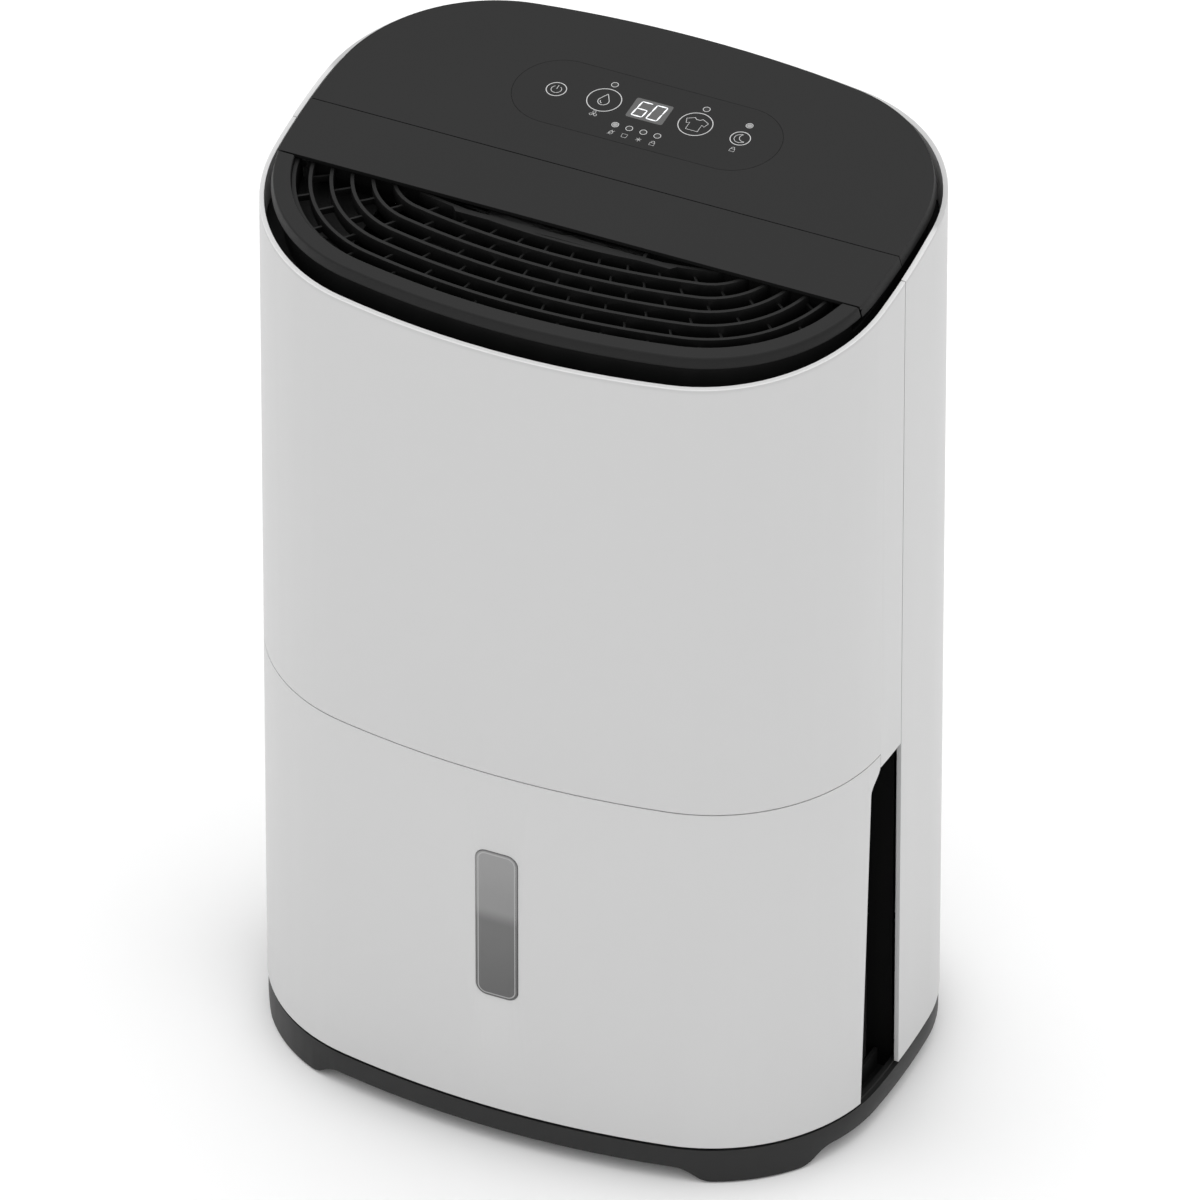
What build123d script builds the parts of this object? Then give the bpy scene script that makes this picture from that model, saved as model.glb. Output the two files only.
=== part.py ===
"""Free-standing compressor dehumidifier with a slide-out water tank. Millimetres.

The origin is on the floor under the middle of the body, +Y points to the back and +Z up.
The body is a bowed, round-cornered column. Its lid leans forward in a plane of its own.
"""
import os
from math import atan, cos, degrees, radians, sin, sqrt

from build123d import *

os.makedirs("parts", exist_ok=True)

# ---- body plan ----
BODY_W = 340.0
BODY_D = 254.0
FRONT_BOW = 31.0          # how far the front face bulges over the full width
BACK_BOW = 24.0
SIDE_BOW = 16.0
FRONT_CORNER_R = 96.0
BACK_CORNER_R = 92.0
SHELL_T = 2.5

# ---- levels above the floor ----
PAD_H = 1.0
BASE_Z = 9.0              # underside of the base between its feet
BASE_FLOOR_T = 3.0
BASE_TOP_Z = 21.0
SHELL_Z = 22.5            # lower edge of the white covers
SHELF_Z = 238.0           # shelf over the tank
SHELF_T = 3.0
SEAM_Z = 236.0            # joint between the tank front and the front cover
RIM_DROP = 14.205         # upper edge of the front cover, below the lid surface at the very front
RIM_SLOPE = 0.136
GAP = 0.5                 # joint between neighbouring covers
RUN_GAP = 0.35            # between a moving piece and what it passes
BEARING_GAP = 0.05        # round a shaft or pin that turns

# ---- lid ----
LID_Z = 525.0             # lid surface over the origin
LID_SLOPE = 0.085
RIM_FRONT_Z = LID_Z - LID_SLOPE * BODY_D / 2 - RIM_DROP
LID_EDGE = 6.2            # height of the lid's visible edge
LID_INSET = 5.5           # lid edge inside the body plan
LID_DRAFT = 1.5           # how far the edge leans in
LID_T = 3.0
RIM_BAND = 4.0            # solid margin along the lid's edge
HANDLE_FRONT_Y = -41.0
HANDLE_REAR_Y = 2.0
HANDLE_T = 2.2

# ---- lid frame: flat parts are drawn in the plane of the lid ----
LID_TILT = degrees(atan(LID_SLOPE))
LID = Plane(origin=(0, 0, LID_Z), x_dir=(1, 0, 0),
            z_dir=(0, -sin(radians(LID_TILT)), cos(radians(LID_TILT))))
RIM = Plane(origin=(0, -BODY_D / 2, RIM_FRONT_Z), x_dir=(1, 0, 0),
            z_dir=(0, -sin(atan(RIM_SLOPE)), cos(atan(RIM_SLOPE))))
LID_UNDER = LID.offset(-LID_EDGE)
TALL = BODY_W * 2         # longer than any cut needs


def save(piece, name):
    """Label a finished piece and write its file."""
    piece.part.label = name
    export_step(piece.part, f"parts/{name}.step")


def bow_radius(half_span, rise):
    """Radius of an arc that rises this much over twice half_span."""
    return (half_span**2 + rise**2) / (2 * rise)


front_bow_r = bow_radius(BODY_W / 2, FRONT_BOW)
back_bow_r = bow_radius(BODY_W / 2, BACK_BOW)
side_bow_r = bow_radius(BODY_D / 2, SIDE_BOW)
front_bow_centre = Vector(0, front_bow_r - BODY_D / 2)
back_bow_centre = Vector(0, BODY_D / 2 - back_bow_r)
side_bow_centre = Vector(BODY_W / 2 - side_bow_r, 0)


def back_face_y(x):
    """Where the back of the body lies at this distance from the middle."""
    return back_bow_centre.Y + sqrt(back_bow_r**2 - x**2)


def corner_centre(bow_centre, bow_r, corner_r):
    """Centre of the right-hand corner circle that touches a bow and the side inside."""
    reach = bow_r - corner_r
    side_reach = side_bow_r - corner_r
    between = side_bow_centre - bow_centre
    along = (reach**2 - side_reach**2 + between.length**2) / (2 * between.length)
    across = sqrt(reach**2 - along**2)
    unit = between.normalized()
    sideways = Vector(unit.Y, -unit.X) * (-1 if bow_centre.Y > 0 else 1)
    return bow_centre + unit * along + sideways * across


front_corner = corner_centre(front_bow_centre, front_bow_r, FRONT_CORNER_R)
back_corner = corner_centre(back_bow_centre, back_bow_r, BACK_CORNER_R)


def corner_points(centre, bow_centre, corner_r):
    """Start, middle and end of a right-hand corner's arc, from the bow to the side."""
    start = (centre - bow_centre).normalized()
    end = (centre - side_bow_centre).normalized()
    middle = (start + end).normalized()
    return [centre + way * corner_r for way in (start, middle, end)]


def plan(inset=0.0, mode=Mode.ADD):
    """The body plan, drawn in by inset, for the sketch in hand."""
    front = corner_points(front_corner, front_bow_centre, FRONT_CORNER_R - inset)
    back = corner_points(back_corner, back_bow_centre, BACK_CORNER_R - inset)
    with BuildSketch(mode=Mode.PRIVATE) as shape:
        with BuildLine():
            ThreePointArc(*front)
            ThreePointArc(front[2], (BODY_W / 2 - inset, 0), back[2])
            ThreePointArc(*reversed(back))
            ThreePointArc(back[0], (0, BODY_D / 2 - inset), (-back[0].X, back[0].Y))
            ThreePointArc(*[(-point.X, point.Y) for point in back])
            ThreePointArc((-back[2].X, back[2].Y), (inset - BODY_W / 2, 0),
                          (-front[2].X, front[2].Y))
            ThreePointArc(*[(-point.X, point.Y) for point in reversed(front)])
            ThreePointArc((-front[0].X, front[0].Y), (0, inset - BODY_D / 2), front[0])
        make_face()
    add(shape.sketch, mode=mode)


def ring(outer, inner):
    """A band between two insets of the body plan, for the sketch in hand."""
    plan(outer)
    plan(inner, Mode.SUBTRACT)


def keep_box(x, y, z):
    """Keep only what lies in these (low, high) ranges of the part in hand."""
    with Locations(((x[0] + x[1]) / 2, (y[0] + y[1]) / 2, (z[0] + z[1]) / 2)):
        Box(x[1] - x[0], y[1] - y[0], z[1] - z[0], mode=Mode.INTERSECT)


def cut_box(x, y, z):
    """Cut these (low, high) ranges out of the part in hand."""
    with Locations(((x[0] + x[1]) / 2, (y[0] + y[1]) / 2, (z[0] + z[1]) / 2)):
        Box(x[1] - x[0], y[1] - y[0], z[1] - z[0], mode=Mode.SUBTRACT)


def add_box(x, y, z):
    """Add a block with these (low, high) ranges to the part in hand."""
    with Locations(((x[0] + x[1]) / 2, (y[0] + y[1]) / 2, (z[0] + z[1]) / 2)):
        Box(x[1] - x[0], y[1] - y[0], z[1] - z[0])


def post(x, y, z_low, z_high, radius, mode=Mode.ADD):
    """An upright round post or hole."""
    with BuildSketch(Plane.XY.offset(z_low)) as disc:
        with Locations((x, y)):
            Circle(radius)
    extrude(disc.sketch, amount=z_high - z_low, mode=mode)


def along_y(x, z, y_low, y_high, radius, mode=Mode.ADD):
    """A round rod or hole that runs from front to back."""
    with BuildSketch(Plane.XZ.offset(-y_high)) as disc:
        with Locations((x, z)):
            Circle(radius)
    extrude(disc.sketch, amount=y_high - y_low, mode=mode)


def trim_to_lid():
    """Cut the top of a cover to the rim, and to the lid where that comes lower."""
    split(bisect_by=RIM, keep=Keep.BOTTOM)
    split(bisect_by=LID_UNDER.offset(-GAP / 2), keep=Keep.BOTTOM)


# ---- base ----
BASE_INSET = 0.6
BASE_WALL_T = 2.5
GROOVE_INSET = 3.0        # shadow groove between base and covers
CRADLE_INSET = 14.0       # low wall that the tank stands inside
CRADLE_T = 2.0
CRADLE_TOP_Z = 24.0
TANK_FLOOR_Z = 27.0
RAIL_X = 95.0
RAIL_W = 8.0
FOOT_TURN = 10.0          # how far the feet sit from the corners' middles, towards the bows
FOOT_FLAT = 45.0
FOOT_SWEEP = 20.0         # length of the curve from foot to base
FOOT_DEPTH = 22.0
PAD_INSET = 11.0
PAD_L = 40.0
PAD_W = 12.0
SCREW_R = 1.9
SCREW_HEAD_R = 3.6
SCREW_HEAD_H = 2.4
BASE_BOSS = [(x, y) for x in (-146.0, 146.0) for y in (14.0, 38.0)]
BASE_BOSS_R = 4.5
SCREW_BITE = 14.0         # how far a base screw reaches into its cover
BULKHEAD_Y = 2.0
BULKHEAD_T = 2.5
COMPRESSOR_X = -50.0
COMPRESSOR_Y = 62.0
GROMMET_R = 7.0
GROMMET_H = 12.0
GROMMET_RING = 44.0
GROMMET_ANGLES = (90.0, 210.0, 330.0)
BOLT_R = 2.5

foot_planes = []
for centre, bow_centre, corner_r in ((front_corner, front_bow_centre, FRONT_CORNER_R),
                                     (back_corner, back_bow_centre, BACK_CORNER_R)):
    middle = (corner_points(centre, bow_centre, corner_r)[1] - centre).normalized()
    turn = FOOT_TURN if centre.Y > 0 else -FOOT_TURN
    outward = middle.rotate(Axis.Z, turn)
    tip = centre + outward * corner_r
    for side in (1, -1):
        foot_planes.append(Plane(origin=(side * tip.X, tip.Y, 0),
                                 x_dir=(-outward.Y, side * outward.X, 0),
                                 z_dir=(side * outward.X, outward.Y, 0)))


def foot(plane):
    """One foot: a slice of the base's edge with a curved profile at each end."""
    half = FOOT_FLAT / 2
    with BuildPart() as piece:
        with BuildSketch(Plane.XY.offset(PAD_H)):
            ring(BASE_INSET, BASE_INSET + FOOT_DEPTH)
        extrude(amount=BASE_Z - PAD_H + BASE_FLOOR_T / 2)
        with BuildSketch(plane.offset(-BODY_D / 4)):
            with BuildLine():
                top = BASE_Z + BASE_FLOOR_T / 2
                Polyline((half + FOOT_SWEEP, BASE_Z), (half + FOOT_SWEEP, top),
                         (-half - FOOT_SWEEP, top), (-half - FOOT_SWEEP, BASE_Z))
                Spline((-half - FOOT_SWEEP, BASE_Z), (-half, PAD_H),
                       tangents=((1, 0), (1, 0)))
                Line((-half, PAD_H), (half, PAD_H))
                Spline((half, PAD_H), (half + FOOT_SWEEP, BASE_Z),
                       tangents=((1, 0), (1, 0)))
            make_face()
        extrude(amount=BODY_D / 2, mode=Mode.INTERSECT)
    return piece.part


def grommet_places():
    """Centres of the three compressor feet."""
    return [(COMPRESSOR_X + GROMMET_RING * cos(radians(angle)),
             COMPRESSOR_Y + GROMMET_RING * sin(radians(angle))) for angle in GROMMET_ANGLES]


feet = [foot(plane) for plane in foot_planes]
base_floor_top = BASE_Z + BASE_FLOOR_T

with BuildPart() as base_tray:
    with BuildSketch(Plane.XY.offset(BASE_Z)):
        plan(BASE_INSET)
    extrude(amount=BASE_FLOOR_T)
    with BuildSketch(Plane.XY.offset(BASE_Z)):
        ring(BASE_INSET, BASE_INSET + BASE_WALL_T)
    extrude(amount=BASE_TOP_Z - BASE_Z)
    with BuildSketch(Plane.XY.offset(BASE_Z)):
        ring(GROOVE_INSET, GROOVE_INSET + BASE_WALL_T)
    extrude(amount=SHELL_Z - BASE_Z)
    with BuildSketch(Plane.XY.offset(BASE_Z)):
        ring(CRADLE_INSET, CRADLE_INSET + CRADLE_T)
        with Locations((0, BODY_D / 2 + BULKHEAD_Y - CRADLE_T)):
            Rectangle(BODY_W, BODY_D, mode=Mode.SUBTRACT)
    extrude(amount=CRADLE_TOP_Z - BASE_Z)
    for side in (-1, 1):
        add_box((side * RAIL_X - RAIL_W / 2, side * RAIL_X + RAIL_W / 2),
                (-BODY_D / 2 + FRONT_BOW, BULKHEAD_Y - CRADLE_T), (BASE_Z, TANK_FLOOR_Z - RUN_GAP))
    add(feet)
    for bx, by in BASE_BOSS:
        post(bx, by, BASE_Z, SHELL_Z, BASE_BOSS_R)
        post(bx, by, BASE_Z - 1, SHELL_Z + 1, SCREW_R + 0.2, Mode.SUBTRACT)
        post(bx, by, BASE_Z - 1, BASE_Z + SCREW_HEAD_H, SCREW_HEAD_R + 0.2, Mode.SUBTRACT)
    for gx, gy in grommet_places():
        post(gx, gy, base_floor_top - 1, base_floor_top + GROMMET_H + 4, BOLT_R)
save(base_tray, "base_tray")

with BuildPart() as foot_pads:
    for plane in foot_planes:
        with BuildSketch(Plane(origin=plane.origin - plane.z_dir * PAD_INSET,
                               x_dir=plane.x_dir, z_dir=(0, 0, 1))):
            SlotOverall(PAD_L, PAD_W)
        extrude(amount=PAD_H)
save(foot_pads, "foot_pads")

with BuildPart() as base_screws:
    for bx, by in BASE_BOSS:
        post(bx, by, BASE_Z, BASE_Z + SCREW_HEAD_H, SCREW_HEAD_R)
        post(bx, by, BASE_Z + 1, SHELL_Z + SCREW_BITE, SCREW_R)
save(base_screws, "base_screws")

# ---- front cover and rear cover ----
SPLIT_Y = -5.0            # joint between the front and the rear cover
APRON_Z = 227.5           # lower edge of the cover above the finger recess
APRON_Y = -28.5           # back edge of the tank front, at its top
COVER_TOP = LID_Z + 20

with BuildPart() as front_cover:
    with BuildSketch(Plane.XY.offset(APRON_Z)):
        ring(0, SHELL_T)
    extrude(amount=COVER_TOP - APRON_Z)
    trim_to_lid()
    keep_box((-BODY_W, BODY_W), (-BODY_D, SPLIT_Y - GAP / 2), (0, COVER_TOP))
    cut_box((-BODY_W, BODY_W), (-BODY_D, APRON_Y), (0, SEAM_Z + GAP / 2))
save(front_cover, "front_cover")

INLET_HALF_W = 108.0
INLET_LOW_Z = 264.0
INLET_HIGH_Z = LID_Z - 49.0
INLET_CORNER_R = 14.0
SPOUT_X = 62.0
SPOUT_Z = 222.0
SPOUT_HOLE_R = 11.0
GLAND_X = -96.0
GLAND_Z = 58.0
GLAND_HOLE_R = 8.0
GLAND_PROUD = 2.05
gland_face_y = back_face_y(GLAND_X) + GLAND_PROUD


def inlet_panel(margin):
    """The inlet opening's outline, grown by margin, drawn on the back."""
    with Locations((0, (INLET_LOW_Z + INLET_HIGH_Z) / 2)):
        RectangleRounded(2 * (INLET_HALF_W + margin), INLET_HIGH_Z - INLET_LOW_Z + 2 * margin,
                         INLET_CORNER_R + margin)


with BuildPart() as rear_cover:
    with BuildSketch(Plane.XY.offset(SHELL_Z + GAP / 2)):
        ring(0, SHELL_T)
    extrude(amount=COVER_TOP - SHELL_Z)
    trim_to_lid()
    keep_box((-BODY_W, BODY_W), (SPLIT_Y + GAP / 2, BODY_D), (0, COVER_TOP))
    with BuildSketch(Plane.XZ):
        inlet_panel(GAP)
    extrude(amount=-BODY_D, mode=Mode.SUBTRACT)
    along_y(SPOUT_X, SPOUT_Z, 60, BODY_D, SPOUT_HOLE_R, Mode.SUBTRACT)
    along_y(GLAND_X, GLAND_Z, gland_face_y - 14, gland_face_y, GLAND_HOLE_R + 5)
    along_y(GLAND_X, GLAND_Z, 60, BODY_D, GLAND_HOLE_R, Mode.SUBTRACT)
    for bx, by in BASE_BOSS:
        with BuildSketch(Plane.XY.offset(SHELL_Z + GAP / 2)):
            with Locations((bx, by)):
                Circle(BASE_BOSS_R)
            with Locations((bx + (BODY_W / 2 - abs(bx)) / 2 * (1 if bx > 0 else -1), by)):
                Rectangle(BODY_W / 2 - abs(bx), BASE_BOSS_R)
            plan(SHELL_T / 2, Mode.INTERSECT)
        extrude(amount=SCREW_BITE + 4)
        post(bx, by, SHELL_Z - 1, SHELL_Z + SCREW_BITE + 1, SCREW_R, Mode.SUBTRACT)
save(rear_cover, "rear_cover")

# ---- neck: the dark wall between the covers and the lid ----
NECK_INSET = 11.0
NECK_T = 2.5
NECK_FLANGE_DEPTH = 32.0  # below the lid surface
NECK_FLANGE_T = 2.5
DECK_DEPTH = 20.0
DECK_T = 2.5
ARM_X = BODY_W / 2 - 27   # carry handle's arms
ARM_T = 6.0
ARM_Y = -20.0
ARM_W = 18.0
HANDLE_TRAVEL = 60.0
SLEEVE_T = 2.5
SLEEVE_DEPTH = 58.0       # lower end of the arm guides, below the lid
OUTLET_HALF_W = 104.0
OUTLET_FRONT_Y = -100.0
OUTLET_REAR_Y = -36.0
SPINE_Y = -16.0           # stiffening web along the carry handle
SPINE_T = 3.0
SPINE_DEPTH = 13.0
neck_opening = NECK_INSET + NECK_T + LID_SLOPE * NECK_FLANGE_DEPTH + 1

with BuildPart() as neck_flange:
    with BuildSketch(Plane.XY.offset(RIM_FRONT_Z - BODY_W / 4)):
        ring(SHELL_T + GAP, neck_opening)
    extrude(amount=BODY_W / 2)
    split(bisect_by=LID.offset(NECK_FLANGE_T - NECK_FLANGE_DEPTH), keep=Keep.BOTTOM)
    split(bisect_by=LID.offset(-NECK_FLANGE_DEPTH), keep=Keep.TOP)

with BuildPart() as neck_frame:
    add(neck_flange.part)
    with BuildSketch(LID.offset(-NECK_FLANGE_DEPTH)):
        ring(NECK_INSET, NECK_INSET + NECK_T)
    extrude(amount=NECK_FLANGE_DEPTH - LID_T)
    with BuildSketch(LID.offset(-DECK_DEPTH)):
        plan(NECK_INSET + NECK_T / 2)
        with Locations((0, (OUTLET_FRONT_Y + OUTLET_REAR_Y) / 2)):
            Rectangle(2 * OUTLET_HALF_W, OUTLET_REAR_Y - OUTLET_FRONT_Y, mode=Mode.SUBTRACT)
    extrude(amount=DECK_T)
    sleeve_hole_x = ARM_T + 2 * RUN_GAP
    sleeve_hole_y = ARM_W + 2 * RUN_GAP
    with BuildSketch(LID.offset(-SLEEVE_DEPTH)):
        with Locations((-ARM_X, ARM_Y), (ARM_X, ARM_Y)):
            Rectangle(sleeve_hole_x + 2 * SLEEVE_T, sleeve_hole_y + 2 * SLEEVE_T)
    extrude(amount=SLEEVE_DEPTH - DECK_DEPTH)
    with BuildSketch(LID.offset(-SLEEVE_DEPTH - 1)):
        with Locations((-ARM_X, ARM_Y), (ARM_X, ARM_Y)):
            Rectangle(sleeve_hole_x, sleeve_hole_y)
    extrude(amount=SLEEVE_DEPTH + 1, mode=Mode.SUBTRACT)
    with BuildSketch(LID.offset(-DECK_DEPTH + DECK_T)):
        with Locations((0, (HANDLE_FRONT_Y + HANDLE_REAR_Y) / 2)):
            Rectangle(BODY_W, HANDLE_REAR_Y - HANDLE_FRONT_Y + 2 * GAP)
    extrude(amount=DECK_DEPTH, mode=Mode.SUBTRACT)
save(neck_frame, "neck_frame")

# ---- lid: rear cover plate, carry handle and outlet surround ----
PANEL_L = 146.0
PANEL_W = 50.0
PANEL_Y = 54.5
PANEL_T = 1.2
DISPLAY_X = 20.4
DISPLAY_Y = 15.6
DISPLAY_AT_Y = 57.5
KEY_LIGHTS = [(-25.0, 70.0), (26.0, 70.0), (51.4, 66.5)]
MODE_LIGHT_PITCH = 7.8
MODE_LIGHT_Y = 41.5
LIGHTS = KEY_LIGHTS + [((index - 1.5) * MODE_LIGHT_PITCH, MODE_LIGHT_Y) for index in range(4)]
LIGHT_R = 1.2
BOARD_L = 130.0
BOARD_W = 40.0
BOARD_T = 1.6
BOARD_DEPTH = 9.0         # underside of the board, below the lid surface


def lid_slab():
    """The lid's full outline with its leaning edge, added to the part in hand."""
    with BuildSketch(LID_UNDER) as lower:
        plan(LID_INSET)
    with BuildSketch(LID) as upper:
        plan(LID_INSET + LID_DRAFT)
    loft([lower.sketch.face(), upper.sketch.face()], ruled=True)


def lid_hollow(floor, inset=LID_INSET + RIM_BAND):
    """Hollow the lid from below, leaving this much thickness over it."""
    with BuildSketch(LID_UNDER.offset(-1)) as hollow:
        plan(inset)
    extrude(hollow.sketch, amount=LID_EDGE + 1 - floor, mode=Mode.SUBTRACT)


def lid_cut(y_low, y_high):
    """Take away the lid between two places from front to back."""
    with BuildSketch(LID_UNDER.offset(-TALL / 4)) as slice_area:
        with Locations((0, (y_low + y_high) / 2)):
            Rectangle(BODY_W + 40, y_high - y_low)
    extrude(slice_area.sketch, amount=TALL / 2, mode=Mode.SUBTRACT)


with BuildPart() as top_cover:
    lid_slab()
    lid_hollow(LID_T)
    with BuildSketch(LID_UNDER):
        with Locations((0, HANDLE_REAR_Y + GAP + RIM_BAND / 4)):
            Rectangle(BODY_W - 4 * NECK_INSET, RIM_BAND / 2)
    extrude(amount=LID_EDGE - LID_T / 2)
    lid_cut(-BODY_D, HANDLE_REAR_Y + GAP)
    with BuildSketch(LID.offset(-PANEL_T)):
        with Locations((0, PANEL_Y)):
            SlotOverall(PANEL_L + 0.4, PANEL_W + 0.4)
    extrude(amount=PANEL_T + 1, mode=Mode.SUBTRACT)
    with BuildSketch(LID.offset(-LID_T - 1)):
        with Locations((0, DISPLAY_AT_Y)):
            Rectangle(DISPLAY_X + 1, DISPLAY_Y + 1)
        with Locations(*LIGHTS):
            Circle(LIGHT_R + 0.2)
    extrude(amount=LID_T + 2, mode=Mode.SUBTRACT)
save(top_cover, "top_cover")

with BuildPart() as control_panel:
    with BuildSketch(LID.offset(-PANEL_T)):
        with Locations((0, PANEL_Y)):
            SlotOverall(PANEL_L, PANEL_W)
    extrude(amount=PANEL_T)
save(control_panel, "control_panel")

with BuildPart() as control_board:
    with BuildSketch(LID.offset(-BOARD_DEPTH)):
        with Locations((0, PANEL_Y)):
            RectangleRounded(BOARD_L, BOARD_W, 3)
    extrude(amount=BOARD_T)
save(control_board, "control_board")

with BuildPart() as display_module:
    with BuildSketch(LID.offset(-BOARD_DEPTH + BOARD_T)):
        with Locations((0, DISPLAY_AT_Y)):
            Rectangle(DISPLAY_X, DISPLAY_Y)
    extrude(amount=BOARD_DEPTH - BOARD_T - PANEL_T)
save(display_module, "display_module")

with BuildPart() as indicator_lights:
    with BuildSketch(LID.offset(-BOARD_DEPTH + BOARD_T)):
        with Locations(*LIGHTS):
            Circle(LIGHT_R)
    extrude(amount=BOARD_DEPTH - BOARD_T - PANEL_T)
save(indicator_lights, "indicator_lights")

LUG_W = 3.0
LUG_H = 8.0
arm_length = SLEEVE_DEPTH + HANDLE_TRAVEL + RUN_GAP + LUG_H

with BuildPart() as carry_handle:
    lid_slab()
    lid_cut(-BODY_D, HANDLE_FRONT_Y + GAP / 2)
    lid_cut(HANDLE_REAR_Y, BODY_D)
    with BuildSketch(LID_UNDER.offset(-1)):
        Rectangle(BODY_W - 2 * NECK_INSET + 2 * NECK_T, BODY_D)
    extrude(amount=LID_EDGE + 1 - HANDLE_T, mode=Mode.SUBTRACT)
    with BuildSketch(LID.offset(-SPINE_DEPTH)):
        with Locations((0, SPINE_Y)):
            Rectangle(2 * ARM_X, SPINE_T)
    extrude(amount=SPINE_DEPTH - HANDLE_T / 2)
    with BuildSketch(LID.offset(-arm_length)):
        with Locations((-ARM_X, ARM_Y), (ARM_X, ARM_Y)):
            Rectangle(ARM_T, ARM_W)
    extrude(amount=arm_length - HANDLE_T / 2)
    with BuildSketch(LID.offset(-arm_length)):
        with Locations((-ARM_X, ARM_Y), (ARM_X, ARM_Y)):
            Rectangle(ARM_T + 2 * LUG_W, ARM_W)
    extrude(amount=LUG_H)
save(carry_handle, "carry_handle")

SURROUND_INNER = 14.0     # outlet opening's inset
SURROUND_SKIRT = 2.0
SKIRT_DEPTH = DECK_DEPTH - DECK_T

with BuildPart() as outlet_surround:
    lid_slab()
    lid_hollow(LID_T)
    with BuildSketch(LID.offset(-SKIRT_DEPTH)):
        ring(NECK_INSET + NECK_T + GAP / 2, SURROUND_INNER + SURROUND_SKIRT)
    extrude(amount=SKIRT_DEPTH - LID_T / 2)
    with BuildSketch(LID.offset(-SKIRT_DEPTH - 1)):
        plan(SURROUND_INNER + SURROUND_SKIRT)
    extrude(amount=SKIRT_DEPTH + 2, mode=Mode.SUBTRACT)
    lid_cut(HANDLE_FRONT_Y - GAP / 2, BODY_D)
save(outlet_surround, "outlet_surround")

# ---- outlet grille ----
RIB_TOP = 3.0             # below the lid surface
RIB_H = 8.0
RIB_T = 1.8
RIB_FIRST = 24.7          # inset of the outermost rib
RIB_PITCH = 10.6
RIB_COUNT = 6
CROSS_T = 1.2
CROSS_H = 3.5
CROSS_STEP = 9.0          # degrees between cross ribs
CROSS_COUNT = 20
CROSS_REACH = 60.0        # the cross ribs' inner ends, from that place
CROSS_CENTRE_Y = 40.0     # cross ribs point at this place
FRAME_T = 2.0
RAIL_FRONT_Y = -36.0
GRIP_BAR_HALF = 62.0
GRIP_BAR_Y = -45.5
GRIP_BAR_W = 3.4
GRIP_BAR_CHAMFER = 3.0
frame_inset = SURROUND_INNER + SURROUND_SKIRT + GAP / 2

with BuildSketch() as grille_area:
    plan(frame_inset)
    with Locations((0, BODY_D / 2 + RAIL_FRONT_Y)):
        Rectangle(BODY_W, BODY_D, mode=Mode.SUBTRACT)

cross_bands = []
for index in range(RIB_COUNT):
    with BuildSketch() as gap_area:
        ring(RIB_FIRST + (index - 1) * RIB_PITCH + RIB_T / 2,
             RIB_FIRST + index * RIB_PITCH + RIB_T / 2)
        add(grille_area.sketch, mode=Mode.INTERSECT)
    cross_bands.append(gap_area.sketch)

with BuildPart() as outlet_grille:
    with BuildSketch(LID.offset(-SKIRT_DEPTH)):
        ring(frame_inset, frame_inset + FRAME_T)
        add(grille_area.sketch, mode=Mode.INTERSECT)
        with Locations((0, RAIL_FRONT_Y - FRAME_T / 2)):
            Rectangle(2 * ARM_X, FRAME_T)
        add(grille_area.sketch, mode=Mode.INTERSECT)
    extrude(amount=SKIRT_DEPTH - RIB_TOP)
    for index in range(RIB_COUNT):
        inset = RIB_FIRST + index * RIB_PITCH
        with BuildSketch(LID.offset(-RIB_TOP - RIB_H)):
            ring(inset, inset + RIB_T)
            add(grille_area.sketch, mode=Mode.INTERSECT)
        extrude(amount=RIB_H)
    for index, band in enumerate(cross_bands):
        with BuildSketch(LID.offset(-RIB_TOP - RIB_H)):
            for step in range(CROSS_COUNT):
                angle = 180 + (step + (index % 2) / 2) * CROSS_STEP
                with Locations(Location((CROSS_REACH * cos(radians(angle)),
                                         CROSS_CENTRE_Y + CROSS_REACH * sin(radians(angle)), 0),
                                        (0, 0, angle))):
                    Rectangle(BODY_W, CROSS_T, align=(Align.MIN, Align.CENTER))
            add(band, mode=Mode.INTERSECT)
    extrude(amount=CROSS_H)
    with BuildSketch(LID.offset(-RIB_TOP - RIB_H)) as grip_bar:
        with Locations((0, GRIP_BAR_Y)):
            Rectangle(2 * GRIP_BAR_HALF, GRIP_BAR_W)
        chamfer(grip_bar.vertices().group_by(Axis.Y)[0], GRIP_BAR_CHAMFER * 0.9)
        for side in (-1, 1):
            with Locations((side * GRIP_BAR_HALF * 0.7, (GRIP_BAR_Y + RAIL_FRONT_Y) / 2)):
                Rectangle(RIB_T, RAIL_FRONT_Y - GRIP_BAR_Y)
    extrude(amount=RIB_H)
save(outlet_grille, "outlet_grille")

# ---- water tank ----
TANK_INSET = 14.6
TANK_T = 2.5
TANK_TOP_Z = 206.0
TANK_BACK_Y = -3.0
TANK_CORNER_R = 12.0
FRONT_BOTTOM_Z = 23.0
RECESS_LOW_Y = -45.0      # back edge of the tank front at the bottom
RECESS_HIGH_Y = -38.0     # and where its top curve starts
RECESS_HIGH_Z = 215.0
TANK_LID_T = 2.0
TANK_LID_LIP = 3.0
WINDOW_X = 0.0
WINDOW_W = 23.6
WINDOW_LOW_Z = 95.0
WINDOW_HIGH_Z = 187.0
WINDOW_R = 6.0
WINDOW_T = 2.2
WINDOW_PROUD = 0.4
WINDOW_FIT = 0.2
TIE_X = 80.0
TIE_W = 30.0
TIE_LEVELS = (60.0, 170.0)
FLOAT_X = BODY_W / 2 - 60
FLOAT_HINGE_Y = -20.0
FLOAT_HINGE_Z = 178.0
FLOAT_PIN_R = 2.0
FLOAT_EAR_T = 3.0
FLOAT_GAP_X = 12.0
INLET_X = 60.0
INLET_Y = -24.0
INLET_R = 12.0
POUR_R = 16.0
COLLAR_T = 2.0            # rim round the tank lid's inlet
COLLAR_H = 4.0
LIP_FIT = 0.2             # tank lid's lip inside the tank wall
LIP_T = 2.0
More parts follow.
